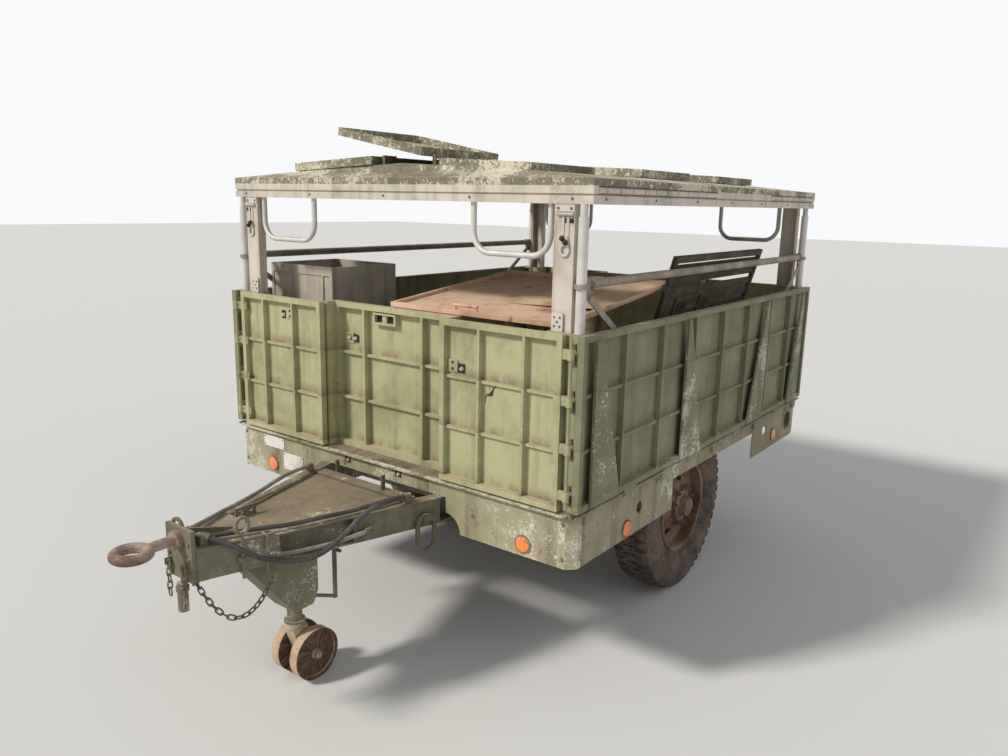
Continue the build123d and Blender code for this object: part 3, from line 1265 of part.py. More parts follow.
def on_table(part):
    """Places a piece made in the tray's own frame: its front inner corner at the origin, X to the front."""
    tilt = degrees(atan2(TABLE_RISE, TABLE_X[0] - TABLE_X[1]))
    return Pos(FRONT + TABLE_X[0], TABLE_Y[0], TABLE_Z - TABLE_LIP) * (Rot(0, tilt, 0) * part)


def work_table():
    """A steel work top that rises to the rear, with a lip round it, a bar handle and four legs."""
    x0, x1 = TABLE_X
    y0, y1 = TABLE_Y
    length = x0 - x1
    run = hypot(length, TABLE_RISE)
    width = y1 - y0
    tray = Pos(-run / 2.0, width / 2.0, TABLE_LIP / 2.0) * Box(run, width, TABLE_LIP)
    well = Box(run - 40.0, width - 40.0, TABLE_LIP)
    tray -= Pos(-run / 2.0, width / 2.0, TABLE_LIP / 2.0 + TABLE_SHEET) * well
    grip = Pos(-12.0, 485.0, TABLE_LIP + 22.0) * Cylinder(8.0, 150.0, rotation=(90, 0, 0))
    for y in (420.0, 550.0):
        grip += Pos(-12.0, y, TABLE_LIP + 8.0) * Box(10.0, 12.0, 30.0)
    tray = on_table(tray + grip)
    for x in (x0 - 90.0, x1 + 90.0):
        for y in (y0 + 60.0, WELL_INNER - 60.0):
            top = TABLE_Z - TABLE_LIP + (x0 - x) / length * TABLE_RISE
            half = TABLE_LEG / 2.0
            tray += block(x - half, x + half, y - half, y + half, DECK_Z, top + 4.0)
    return tray.solid()


# Front and rear ends, inner edge and width of the loose sheet on the work table
LOOSE_PANEL = (-300.0, -985.0, (TABLE_Y[1] - TABLE_Y[0]) / 2.0, 560.0)
LOOSE_THICK = 14.0


def leaning_panel():
    """A loose sheet with its inner edge in the work table's tray and the rest over the lip."""
    x0, x1, y, width = LOOSE_PANEL
    lip_y = TABLE_Y[1] - TABLE_Y[0] - 20.0
    tilt = degrees(atan2(TABLE_LIP - TABLE_SHEET, lip_y - y))
    sheet = Pos((x0 + x1) / 2.0, width / 2.0, LOOSE_THICK / 2.0) * Box(x0 - x1, width, LOOSE_THICK)
    return on_table(Pos(0, y, TABLE_SHEET + SEAT) * (Rot(tilt, 0, 0) * sheet)).solid()


GRATE_X = (ARCH_FRONT + 30.0, ARCH_REAR - 20.0)
GRATE_FOOT_Y = BODY_HALF - 320.0
GRATE_HEIGHT = 960.0
GRATE_THICK = 22.0
GRATE_SLATS = 14
GRATE_RIM = 34.0


def lean_grate(part):
    """Leans a piece from the left wheel box against the guard rail: Z up it, Y = 0 its outer face."""
    reach = TUBE_Y - GRATE_FOOT_Y
    rise = GUARD_Z - WELL_TOP - SEAT
    lean = atan2(reach, rise) - asin((GUARD_R + SEAT) / hypot(reach, rise))
    return Pos(0, GRATE_FOOT_Y, WELL_TOP + SEAT) * (Rot(-degrees(lean), 0, 0) * part)


def slatted_grate():
    """A loose grate of flat slats in a frame, with two small slotted plates on its outer face."""
    x0, x1 = GRATE_X
    rim = GRATE_RIM
    outer = block(x0, x1, -GRATE_THICK, 0.0, 0.0, GRATE_HEIGHT)
    frame = outer - block(x0 - rim, x1 + rim, -GRATE_THICK - 1.0, 1.0, rim, GRATE_HEIGHT - rim)
    pitch = (GRATE_HEIGHT - 2.0 * rim) / GRATE_SLATS
    for i in range(GRATE_SLATS):
        z = rim + pitch * (i + 0.5)
        z0, z1 = z - pitch * 0.3, z + pitch * 0.3
        frame += block(x0 - rim + 1.0, x1 + rim - 1.0, -GRATE_THICK + 6.0, -6.0, z0, z1)
    parts = [lean_grate(frame)]
    for x in (x0 - 150.0, x0 - 450.0):
        slotted = block(x, x - 150.0, -6.0 + SEAT, 4.0, 640.0, 730.0)
        for dx in (35.0, 75.0, 115.0):
            slotted -= block(x - dx + 8.0, x - dx - 8.0, -7.0, 5.0, 660.0, 710.0)
        parts.append(lean_grate(slotted))
    return group(parts)


NODES = {
    "main_rails": main_rails,
    "crossmembers": crossmembers,
    "floor_beams": floor_beams,
    "leg_bracket": leg_bracket,
    "drawbar_nose": drawbar_nose,
    "lunette": lunette,
    "axle_beam": axle_beam,
    "leaf_springs": leaf_springs,
    "tyre_left": tyre,
    "wheel_left": wheel_disc,
    "hub_left": wheel_hub,
    "tyre_right": lambda: to_right(tyre()),
    "wheel_right": lambda: to_right(wheel_disc()),
    "hub_right": lambda: to_right(wheel_hub()),
    "landing_leg": landing_leg,
    "caster_fork": caster_fork,
    "caster_wheels": caster_wheels,
    "floor_deck": floor_deck,
    "wheel_wells": wheel_wells,
    "end_skirts": end_skirts,
    "side_skirts": side_skirts,
    "centre_panels": lambda: group([centre_panel(), to_rear(centre_panel())]),
    "door_front_left": door,
    "door_front_right": lambda: to_right(door(LATCH_HIGH)),
    "door_rear_left": lambda: to_rear(door(LATCH_HIGH)),
    "door_rear_right": lambda: to_rear(to_right(door())),
    "platform_left": platform,
    "platform_right": lambda: to_right(platform()),
    "corner_posts": corner_posts,
    "post_tubes": post_tubes,
    "guard_rails": guard_rails,
    "roof_rails": roof_rails,
    "roof_skin": roof_skin,
    "roof_posts": roof_posts,
    "lift_rods": lift_rods,
    "roof_loops": roof_loops,
    "cabinet": cabinet,
    "work_table": work_table,
    "leaning_panel": leaning_panel,
    "slatted_grate": slatted_grate,
    "safety_chains": safety_chains,
    "drawbar_rings": drawbar_rings,
    "drawbar_fittings": drawbar_fittings,
    "hose_couplings": hose_couplings,
    "reflectors": reflectors,
}

HATCH_NAMES = (("front", HATCH_STATIONS[0]), ("middle", HATCH_STATIONS[1]), ("rear", HATCH_STATIONS[2]))


def hatch_lids():
    """The six lids by name; the front left one lies thrown back over the ridge."""
    lids = {}
    for place, x in HATCH_NAMES:
        for name, side in (("left", 1.0), ("right", -1.0)):
            turn = OPEN_HATCH_ANGLE if (place, name) == ("front", "left") else 0.0
            lids[f"hatch_{place}_{name}"] = on_slope(hatch_lid(turn), x, side)
    return lids


def main():
    os.makedirs("parts", exist_ok=True)
    pieces = {name: make() for name, make in NODES.items()}
    pieces.update(hatch_lids())
    pieces.update({name: hose(name) for name in HOSES})
    for name, (radius, points) in HOSES.items():
        print(name, "radius", radius, "bends", bend_radii(points))
    for name, piece in pieces.items():
        export_step(piece, f"parts/{name}.step")


if __name__ == "__main__":
    main()
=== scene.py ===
"""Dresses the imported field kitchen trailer.

The CAD nodes get their finishes. Tyres, chains, hoses, lenses, fastenings, latches and plates are modelled here.
"""

import logging
from dataclasses import dataclass
from enum import Enum
from math import cos, pi, radians, sin
from typing import Callable, Iterable, Sequence, Union

import bmesh
import bpy
import numpy as np
from mathutils import Matrix, Vector

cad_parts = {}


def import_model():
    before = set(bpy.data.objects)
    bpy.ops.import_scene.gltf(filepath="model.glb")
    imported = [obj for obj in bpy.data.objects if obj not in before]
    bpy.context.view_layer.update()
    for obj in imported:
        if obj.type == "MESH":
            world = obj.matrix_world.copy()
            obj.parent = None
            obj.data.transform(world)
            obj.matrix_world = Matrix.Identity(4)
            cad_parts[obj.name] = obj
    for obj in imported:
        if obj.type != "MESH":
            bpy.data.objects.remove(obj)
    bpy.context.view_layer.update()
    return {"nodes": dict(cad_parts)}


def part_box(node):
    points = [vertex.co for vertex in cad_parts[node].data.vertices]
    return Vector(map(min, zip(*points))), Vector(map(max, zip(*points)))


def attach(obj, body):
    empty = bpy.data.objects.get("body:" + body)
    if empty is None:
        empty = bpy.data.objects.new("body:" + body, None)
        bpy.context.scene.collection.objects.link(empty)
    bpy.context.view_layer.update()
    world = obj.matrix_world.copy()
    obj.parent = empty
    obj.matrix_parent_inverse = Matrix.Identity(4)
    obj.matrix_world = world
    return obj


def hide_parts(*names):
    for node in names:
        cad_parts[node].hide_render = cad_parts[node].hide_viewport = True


log = logging.getLogger("field_kitchen_trailer")

Colour = tuple[float, float, float]
Point = Sequence[float]
Tint = Union[Colour, bpy.types.NodeSocket]
Value = Union["Shade", float, int]


class Slot(Enum):
    """Names of material slots, which the fastenings keep but nothing reads."""

    BODY = "body_green"
    FRAME = "frame_green"
    TAN = "sheet_tan"
    RUST = "rusty_steel"
    TYRE = "tyre_rubber"
    HOSE = "hose_rubber"
    LENS = "reflector_lens"


# Shader maths


class Shade:
    """A number that changes over a surface, written in ordinary expressions."""

    def __init__(self, graph: "Graph", socket: bpy.types.NodeSocket) -> None:
        """Keeps the socket that carries the number."""
        self.graph = graph
        self.socket = socket

    def __add__(self, other: Value) -> "Shade":
        """Sum of two numbers."""
        return self.graph.maths("ADD", self, other)

    def __radd__(self, other: Value) -> "Shade":
        """Sum, with a plain number first."""
        return self.graph.maths("ADD", other, self)

    def __sub__(self, other: Value) -> "Shade":
        """Difference of two numbers."""
        return self.graph.maths("SUBTRACT", self, other)

    def __rsub__(self, other: Value) -> "Shade":
        """Difference, with a plain number first."""
        return self.graph.maths("SUBTRACT", other, self)

    def __mul__(self, other: Value) -> "Shade":
        """Product of two numbers."""
        return self.graph.maths("MULTIPLY", self, other)

    def __rmul__(self, other: Value) -> "Shade":
        """Product, with a plain number first."""
        return self.graph.maths("MULTIPLY", other, self)

    def __truediv__(self, other: Value) -> "Shade":
        """Quotient of two numbers."""
        return self.graph.maths("DIVIDE", self, other)

    def __pow__(self, other: Value) -> "Shade":
        """The number raised to a power."""
        return self.graph.maths("POWER", self, other)

    def __abs__(self) -> "Shade":
        """The number without its sign."""
        return self.graph.maths("ABSOLUTE", self, 0.0)

    def or_more(self, other: Value) -> "Shade":
        """The larger of two numbers."""
        return self.graph.maths("MAXIMUM", self, other)

    def above(self, edge: float, soft: float) -> "Shade":
        """A mask of where the number passes an edge.

        Args:
            edge: the value at which the mask is half.
            soft: half the width over which it goes from 0 to 1.

        Returns:
            The mask, from 0 to 1.
        """
        settings = {"interpolation_type": "SMOOTHSTEP"}
        node = self.graph.node("ShaderNodeMapRange", settings, {0: self, 1: edge - soft, 2: edge + soft})
        return Shade(self.graph, node.outputs[0])


class Graph:
    """The nodes of one material or world."""

    def __init__(self, owner: Union[bpy.types.Material, bpy.types.World]) -> None:
        """Starts with the owner's node tree, emptied."""
        owner.use_nodes = True
        self.tree = owner.node_tree
        self.tree.nodes.clear()

    def node(self, kind: str, settings: dict, inputs: dict) -> bpy.types.Node:
        """Adds a node.

        Args:
            kind: the node's type.
            settings: its properties, set before its sockets.
            inputs: values or links by socket name or number.

        Returns:
            The node.
        """
        made = self.tree.nodes.new(kind)
        for key, value in settings.items():
            setattr(made, key, value)
        for key, value in inputs.items():
            socket = made.inputs[key]
            source = value.socket if isinstance(value, Shade) else value
            if isinstance(source, bpy.types.NodeSocket):
                self.tree.links.new(source, socket)
            else:
                socket.default_value = source
        return made

    def maths(self, operation: str, first: Value, second: Value) -> Shade:
        """Combines two numbers with a Math node."""
        node = self.node("ShaderNodeMath", {"operation": operation}, {0: first, 1: second})
        return Shade(self, node.outputs[0])


class Surface(Graph):
    """The nodes of one material, with patterns that lie on the object's own coordinates."""

    def __init__(self, name: str) -> None:
        """Starts a material."""
        self.material = bpy.data.materials.new(name)
        super().__init__(self.material)
        self.coordinates = self.node("ShaderNodeTexCoord", {}, {})

    def noise(self, scale: float, detail: float = 5.0, rough: float = 0.6, stretch: Point = (1.0, 1.0, 1.0),
              shift: float = 0.0) -> Shade:
        """A cloudy pattern on the object's coordinates.

        Args:
            scale: how many clouds there are in a metre.
            detail: how many finer layers it has.
            rough: how strong the finer layers are.
            stretch: factors along each axis, small for long marks.
            shift: a distance that sets it apart from other patterns.

        Returns:
            The pattern, about 0.5 on average.
        """
        inputs = {"Vector": self.coordinates.outputs["Object"], "Location": (shift, shift, shift),
                  "Scale": tuple(stretch)}
        place = self.node("ShaderNodeMapping", {}, inputs)
        return self.noise_at(place.outputs[0], scale, detail, rough)

    def noise_at(self, vector: bpy.types.NodeSocket, scale: float, detail: float, rough: float) -> Shade:
        """A cloudy pattern on coordinates of its own."""
        inputs = {"Vector": vector, "Scale": scale, "Detail": detail, "Roughness": rough}
        return Shade(self, self.node("ShaderNodeTexNoise", {}, inputs).outputs[0])

    def rays(self, x: float, z: float, scale: float) -> Shade:
        """A pattern of rays round an axis along Y.

        Args:
            x: where the axis is.
            z: its height.
            scale: how fine the rays are.

        Returns:
            The pattern, about 0.5 on average.
        """
        across, up = self.along("X") - x, self.along("Z") - z
        reach = (across * across + up * up) ** 0.5
        around = self.node("ShaderNodeCombineXYZ", {}, {"X": across / reach, "Y": reach * 1.5, "Z": up / reach})
        return self.noise_at(around.outputs[0], scale, 4.0, 0.6)

    def part(self, kind: str, axis: str) -> Shade:
        """The X, Y or Z part of one kind of the object's coordinates."""
        parts = self.node("ShaderNodeSeparateXYZ", {}, {0: self.coordinates.outputs[kind]})
        return Shade(self, parts.outputs[axis])

    def facing(self, axis: str) -> Shade:
        """How far the surface faces along X, Y or Z."""
        return self.part("Normal", axis)

    def along(self, axis: str) -> Shade:
        """The object's coordinate along X, Y or Z."""
        return self.part("Object", axis)

    @staticmethod
    def full(colour: Tint) -> Union[tuple, bpy.types.NodeSocket]:
        """A plain colour with its alpha, or a link as it is."""
        return colour if isinstance(colour, bpy.types.NodeSocket) else (*colour, 1.0)

    def blend(self, under: Tint, over: Tint, mask: Value) -> bpy.types.NodeSocket:
        """Lays one colour over another through a mask."""
        inputs = {0: mask, 6: self.full(under), 7: self.full(over)}
        return self.node("ShaderNodeMix", {"data_type": "RGBA"}, inputs).outputs[2]

    def finish(self, colour: Tint, rough: Value, metal: Value, height: Value, depth: float,
               **plain: float) -> bpy.types.Material:
        """Ends the material with its shader.

        Args:
            colour: the surface colour.
            rough: its roughness.
            metal: how far it is bare metal.
            height: the relief pattern, or a number for a flat surface.
            depth: the relief's depth in metres.
            plain: other shader sockets that are one number all over, with underscores for spaces.

        Returns:
            The material.
        """
        inputs = {"Base Color": self.full(colour), "Roughness": rough, "Metallic": metal}
        if isinstance(height, Shade):
            bump = self.node("ShaderNodeBump", {}, {"Strength": 1.0, "Distance": depth, "Height": height})
            inputs["Normal"] = bump.outputs[0]
        inputs.update({name.replace("_", " "): value for name, value in plain.items()})
        shader = self.node("ShaderNodeBsdfPrincipled", {}, inputs)
        self.node("ShaderNodeOutputMaterial", {}, {"Surface": shader.outputs[0]})
        return self.material


# Finishes


@dataclass(frozen=True)
class Finish:
    """A named finish that makes its own material."""

    name: str

    def make(self) -> bpy.types.Material:
        """Builds the material."""
        raise NotImplementedError


class Weather:
    """The patterns that the layers of one old paint share."""

    def __init__(self, graph: Surface) -> None:
        """Lays out the patterns, each shifted away from the others.

        Args:
            graph: the material's nodes.
        """
        self.broad = graph.noise(1.3, 4.0, 0.55)
        self.cloud = graph.noise(5.5, 8.0, 0.68, shift=3.1)
        self.grain = graph.noise(140.0, 4.0, 0.7)
        self.rain = graph.noise(11.0, 7.0, 0.66, stretch=(1.0, 1.0, 0.07), shift=5.7)
        self.spots = graph.noise(32.0, 9.0, 0.74, shift=1.9)
        self.flakes = graph.noise(13.0, 10.0, 0.72, shift=8.3)
        self.upward = graph.facing("Z").above(0.5, 0.4)


@dataclass(frozen=True)
class WeatheredPaint(Finish):
    """Old flat paint, faded in clouds, streaked by rain, with lichen, dust on ledges and rust coming through."""

    paint: Colour
    faded: Colour
    streak: Colour
    fading: float = 0.5           # value of the cloud pattern at which the faded colour is half laid
    streaks: float = 0.6          # strength of the rain streaks
    lichen: float = 0.72          # lower for more lichen
    lichen_up: float = 0.12       # how much more of it lies on what faces up
    rust: float = 0.74            # lower for more rust
    ledge: float = 0.5            # strength of the dust on what faces up
    patchy: float = 0.7           # how far the lichen gathers in large patches
    specks: float = 0.0           # fine spots of lichen, lower for more, 0 for none
    grime_and_shade: tuple[float, ...] = ()  # heights of the ledges above which dark bands lie, dirt with painted shade along the ribs
    grime_and_shade_tall: float = 0.030     # how far the dark bands climb above a ledge
    crusted: tuple[str, float] = ("", 0.0)   # axis and distance beyond which lichen lies thick
    bright: tuple[str, float] = ("", 0.0)    # axis and distance beyond which the metal is bare
    lichen_colour: Colour = (0.52, 0.50, 0.38)
    rust_colour: Colour = (0.26, 0.105, 0.045)
    ledge_colour: Colour = (0.34, 0.235, 0.155)
    bare_colours: tuple[Colour, Colour] = ((0.46, 0.43, 0.39), (0.62, 0.59, 0.54))
    grime_and_shade_colours: tuple[Colour, Colour] = ((0.125, 0.072, 0.045), (0.21, 0.150, 0.100))
    metal: float = 0.0
    rough: float = 0.78
    relief: float = 0.0016        # depth of flakes and lichen in metres

    def coat(self, graph: Surface, weather: Weather) -> tuple[Tint, Shade]:
        """Lays the paint itself, faded and streaked, with bare metal where it starts.

        Args:
            graph: the material's nodes.
            weather: its patterns.

        Returns:
            The colour, and the mask of where it is faded.
        """
        fade = (weather.cloud * 0.6 + weather.broad * 0.4).above(self.fading, 0.13)
        colour = graph.blend(self.paint, self.faded, fade)
        colour = graph.blend(colour, self.streak, weather.rain.above(0.57, 0.10) * self.streaks)
        chalk = tuple(min(1.0, 1.22 * part + 0.02) for part in self.faded)
        chalky = (weather.rain * 0.5 + weather.spots * 0.5).above(0.60, 0.05) * 0.45
        colour = graph.blend(colour, chalk, chalky)
        axis, start = self.bright
        if axis:
            bare = graph.blend(*self.bare_colours, fade)
            colour = graph.blend(colour, bare, graph.along(axis).above(start, 0.002))
        return colour, fade

    def dirt(self, graph: Surface, weather: Weather, colour: Tint) -> Tint:
        """Lays dark bands above the ledges, dirt with painted shade along the ribs, and dust on what faces up.

        Args:
            graph: the material's nodes.
            weather: its patterns.
            colour: the paint under the bands and the dust.

        Returns:
            The colour with the bands and the dust on it.
        """
        if self.grime_and_shade:
            # dark bands above each ledge: dirt, with painted shade along the ribs
            ragged = graph.along("Z") + (weather.rain - 0.5) * 0.10
            bands = [graph.along("Z").above(ledge, 0.003) * (1 - ragged.above(ledge + self.grime_and_shade_tall, 0.035))
                     for ledge in self.grime_and_shade]
            grime_and_shade_mask = sum(bands[1:], bands[0]) * (weather.cloud * 0.6 + weather.rain * 0.4).above(0.485, 0.06)
            band_colour = graph.blend(*self.grime_and_shade_colours, weather.spots.above(0.5, 0.1))
            colour = graph.blend(colour, band_colour, grime_and_shade_mask * 0.72)
        dust = weather.upward * (weather.cloud + 0.25).above(0.62, 0.2) * self.ledge
        return graph.blend(colour, self.ledge_colour, dust)

    def crust(self, graph: Surface, weather: Weather) -> Shade:
        """Finds where lichen grows.

        Args:
            graph: the material's nodes.
            weather: its patterns.

        Returns:
            The mask of the lichen.
        """
        patches = (weather.cloud - 0.5) * self.patchy + (weather.broad - 0.5) * self.patchy * 0.7
        growth = weather.spots + patches + weather.upward * self.lichen_up
        thick = 0.0
        axis, start = self.crusted
        if axis:
            thick = abs(graph.along(axis)).above(start, 0.0008)
            growth = growth + thick * 0.12
        crust = growth.above(self.lichen, 0.035)
        if self.specks:
            fine = graph.noise(78.0, 5.0, 0.75, shift=9.4)
            spread = fine + (weather.cloud - 0.5) * 0.45 + (weather.broad - 0.5) * 0.35
            spread = spread + (growth - weather.spots) * 0.5 + thick * 0.08
            crust = crust.or_more(spread.above(self.specks, 0.025))
        return crust

    def make(self) -> bpy.types.Material:
        """Builds the material, from the paint up to the lichen.

        Returns:
            The material.
        """
        graph = Surface(self.name)
        weather = Weather(graph)
        colour, fade = self.coat(graph, weather)
        # dirt and dust, with dark bands of painted shade along the ribs
        colour = self.dirt(graph, weather, colour)
        rusted = (weather.flakes + (weather.rain - 0.5) * 0.45).above(self.rust, 0.05)
        old_rust = tuple(0.45 * part for part in self.rust_colour)
        rust = graph.blend(self.rust_colour, old_rust, weather.grain.above(0.5, 0.2))
        colour = graph.blend(colour, rust, rusted)
        crust = self.crust(graph, weather)
        light = tuple(min(1.0, 1.35 * part) for part in self.lichen_colour)
        lichen = graph.blend(self.lichen_colour, light, weather.grain.above(0.52, 0.12))
        colour = graph.blend(colour, lichen, crust)
        height = weather.grain * 0.25 + crust * 0.6 + rusted * (weather.grain * 0.8 + 0.2)
        bare = self.metal * (1 - rusted) * (1 - crust) if self.metal > 0.0 else 0.0
        return graph.finish(colour, self.rough + crust * 0.15 - fade * 0.06, bare, height, self.relief)


@dataclass(frozen=True)
class RustedSteel(Finish):
    """Bare steel under old rust, with dust or old paint left in patches."""

    deep: Colour
    bright: Colour
    dust: Colour
    dusty: float = 0.56           # lower for more dust
    scale: float = 9.0

    def make(self) -> bpy.types.Material:
        """Builds the material.

        Returns:
            The material.
        """
        graph = Surface(self.name)
        cloud = graph.noise(self.scale, 9.0, 0.7)
        grain = graph.noise(self.scale * 22.0, 5.0, 0.7, shift=2.0)
        patch = graph.noise(self.scale * 0.45, 7.0, 0.66, shift=4.4)
        colour = graph.blend(self.deep, self.bright, (cloud * 0.7 + grain * 0.3).above(0.5, 0.12))
        dust = (patch * 0.7 + grain * 0.3).above(self.dusty, 0.06)
        colour = graph.blend(colour, self.dust, dust)
        return graph.finish(colour, 0.9 - dust * 0.12, 0.0, cloud * 0.5 + grain * 0.5, 0.0014)


@dataclass(frozen=True)
class DiscWheel(Finish):
    """A small steel wheel on an axle along Y, dusty on its tread and dark with rust rays on its faces."""

    x: float
    z: float
    tread: Colour = (0.52, 0.37, 0.25)
    worn: Colour = (0.33, 0.17, 0.10)
    face: Colour = (0.060, 0.034, 0.022)
    ray: Colour = (0.19, 0.105, 0.062)

    def make(self) -> bpy.types.Material:
        """Builds the material.

        Returns:
            The material.
        """
        graph = Surface(self.name)
        cloud = graph.noise(16.0, 9.0, 0.7)
        grain = graph.noise(210.0, 5.0, 0.7, shift=2.0)
        rays = graph.rays(self.x, self.z, 7.0)
        side = abs(graph.facing("Y")).above(0.7, 0.15)
        tread = graph.blend(self.tread, self.worn, (cloud * 0.7 + grain * 0.3).above(0.55, 0.07))
        face = graph.blend(self.face, self.ray, (rays * 0.65 + cloud * 0.2 + grain * 0.15).above(0.52, 0.07))
        height = cloud * 0.4 + grain * 0.4 + rays * 0.2
        return graph.finish(graph.blend(tread, face, side), 0.9, 0.0, height, 0.0014)


@dataclass(frozen=True)
class Rubber(Finish):
    """Worn rubber with dry mud dust."""

    fresh: Colour = (0.022, 0.022, 0.022)
    dust: Colour = (0.20, 0.13, 0.085)
    dusty: float = 0.55
    rough: float = 0.85
    grain: float = 90.0

    def make(self) -> bpy.types.Material:
        """Builds the material.

        Returns:
            The material.
        """
        graph = Surface(self.name)
        cloud = graph.noise(7.0, 8.0, 0.7)
        grain = graph.noise(self.grain, 5.0, 0.7, shift=1.3)
        worn = tuple(2.2 * part for part in self.fresh)
        colour = graph.blend(self.fresh, worn, cloud.above(0.5, 0.2))
        dust = (cloud * 0.55 + grain * 0.45).above(self.dusty, 0.09)
        colour = graph.blend(colour, self.dust, dust * 0.85)
        return graph.finish(colour, self.rough, 0.0, grain, 0.0008)


@dataclass(frozen=True)
class Board(Finish):
    """Plywood or sheet that lies in the weather, with grain along X and stains."""

    pale: Colour
    dark: Colour
    stain: Colour

    def make(self) -> bpy.types.Material:
        """Builds the material.

        Returns:
            The material.
        """
        graph = Surface(self.name)
        grain = graph.noise(24.0, 8.0, 0.65, stretch=(0.12, 1.0, 1.0))
        cloud = graph.noise(3.4, 8.0, 0.65, shift=2.2)
        fine = graph.noise(120.0, 4.0, 0.7, shift=6.0)
        colour = graph.blend(self.pale, self.dark, grain.above(0.52, 0.14))
        colour = graph.blend(colour, self.stain, (cloud * 0.75 + fine * 0.25).above(0.55, 0.07))
        return graph.finish(colour, 0.9 - cloud * 0.1, 0.0, grain * 0.6 + fine * 0.4, 0.0008)


@dataclass(frozen=True)
class LensPlastic(Finish):
    """Glossy tinted plastic with a fine pattern of cells, lighter at their edges as painted glints."""

    colour: Colour = (0.72, 0.16, 0.02)
    dirt: Colour = (0.16, 0.10, 0.06)

    def make(self) -> bpy.types.Material:
        """Builds the material.

        Returns:
            The material.
        """
        graph = Surface(self.name)
        inputs = {"Vector": graph.coordinates.outputs["Object"], "Scale": 170.0}
        cells = graph.node("ShaderNodeTexVoronoi", {}, inputs)
        cell = Shade(graph, cells.outputs["Distance"])
        dirt = graph.noise(40.0, 8.0, 0.7)
        # the lighter colour at the cell edges is a painted glint of the prism cells
        bright = tuple(min(1.0, 1.5 * part + 0.05) for part in self.colour)
        colour = graph.blend(self.colour, bright, cell.above(0.35, 0.25))
        colour = graph.blend(colour, self.dirt, dirt.above(0.60, 0.08) * 0.8)
        return graph.finish(colour, 0.22 + dirt * 0.2, 0.0, cell, 0.001, Coat_Weight=0.5)


DOOR_LEDGES = (0.981, 1.227, 1.473)          # heights of the ledges in metres
PLATFORM_LEDGES = (0.998, 1.239, 1.480)
OLIVE = WeatheredPaint("olive_paint", (0.285, 0.284, 0.144), (0.455, 0.442, 0.242), (0.155, 0.137, 0.080),
                       fading=0.45, streaks=0.40, lichen=0.765, rust=0.755, ledge=0.95, specks=0.735,
                       grime_and_shade=DOOR_LEDGES, ledge_colour=(0.49, 0.37, 0.25))
PLATFORM = WeatheredPaint("platform_paint", (0.175, 0.178, 0.100), (0.270, 0.262, 0.155), (0.090, 0.082, 0.052),
                          fading=0.50, streaks=0.50, lichen=0.775, rust=0.755, ledge=0.8, specks=0.735,
                          grime_and_shade=PLATFORM_LEDGES, crusted=("Y", 1.2020))
CORNER = WeatheredPaint("corner_paint", (0.235, 0.235, 0.122), (0.375, 0.365, 0.210), (0.130, 0.115, 0.070),
                        fading=0.45, streaks=0.55, lichen=0.73, rust=0.72, ledge=0.8, specks=0.70,
                        bright=("Z", 1.737))
SKIRT = WeatheredPaint("skirt_paint", (0.270, 0.252, 0.145), (0.415, 0.385, 0.240), (0.125, 0.092, 0.058),
                       fading=0.47, streaks=0.70, lichen=0.595, rust=0.640, patchy=0.5, specks=0.585,
                       lichen_colour=(0.54, 0.51, 0.39))
SIDE_SKIRT = WeatheredPaint("side_skirt_paint", (0.225, 0.195, 0.120), (0.335, 0.290, 0.190),
                            (0.120, 0.082, 0.052),
                            fading=0.49, streaks=0.75, lichen=0.72, rust=0.650, specks=0.69)
LEG = WeatheredPaint("leg_paint", (0.120, 0.108, 0.066), (0.215, 0.192, 0.125), (0.075, 0.052, 0.036),
                     fading=0.50, streaks=0.6, lichen=0.76, rust=0.680, specks=0.715)
FRAME = WeatheredPaint("frame_paint", (0.120, 0.110, 0.072), (0.225, 0.202, 0.140), (0.085, 0.056, 0.040),
                       fading=0.50, streaks=0.6, lichen=0.685, rust=0.665, specks=0.655,
                       rust_colour=(0.19, 0.095, 0.062), lichen_colour=(0.46, 0.44, 0.35))
TAN = WeatheredPaint("tan_paint", (0.45, 0.390, 0.315), (0.65, 0.575, 0.485), (0.20, 0.165, 0.125),
                     fading=0.45, streaks=0.5, lichen=0.80, lichen_up=0.06, rust=0.79, ledge=0.3, rough=0.7)
TUBE = WeatheredPaint("tube_zinc", (0.50, 0.475, 0.44), (0.69, 0.665, 0.62), (0.24, 0.20, 0.155),
                      fading=0.45, streaks=0.30, lichen=0.80, lichen_up=0.05, rust=0.735, ledge=0.35, metal=0.15,
                      rough=0.55)
RAIL = WeatheredPaint("rail_tube", (0.215, 0.175, 0.135), (0.385, 0.335, 0.275), (0.110, 0.070, 0.045),
                      fading=0.50, streaks=0.5, lichen=0.72, lichen_up=0.05, rust=0.66, ledge=0.5, specks=0.68,
                      metal=0.15, rough=0.65)
ROOF = WeatheredPaint("roof_metal", (0.140, 0.130, 0.080), (0.255, 0.235, 0.155), (0.075, 0.062, 0.042),
                      fading=0.49, streaks=0.25, lichen=0.575, lichen_up=0.0, rust=0.80, ledge=0.35,
                      patchy=0.42, specks=0.560, lichen_colour=(0.56, 0.51, 0.39), rough=0.8)
TABLE = WeatheredPaint("table_steel", (0.58, 0.365, 0.235), (0.73, 0.515, 0.365), (0.34, 0.19, 0.11),
                       fading=0.50, streaks=0.4, lichen=0.93, lichen_up=0.0, rust=0.64, ledge=0.0,
                       rust_colour=(0.42, 0.18, 0.08))
CABINET = WeatheredPaint("cabinet_sheet", (0.42, 0.37, 0.30), (0.55, 0.49, 0.40), (0.17, 0.145, 0.115),
                         fading=0.5, streaks=0.6, lichen=0.88, rust=0.78, ledge=0.3, metal=0.15, rough=0.65)
RUST = RustedSteel("old_rust", (0.115, 0.062, 0.044), (0.245, 0.145, 0.105), (0.36, 0.275, 0.215), dusty=0.53)
CHAIN = RustedSteel("chain_rust", (0.075, 0.050, 0.034), (0.150, 0.110, 0.075), (0.27, 0.23, 0.165), dusty=0.50)
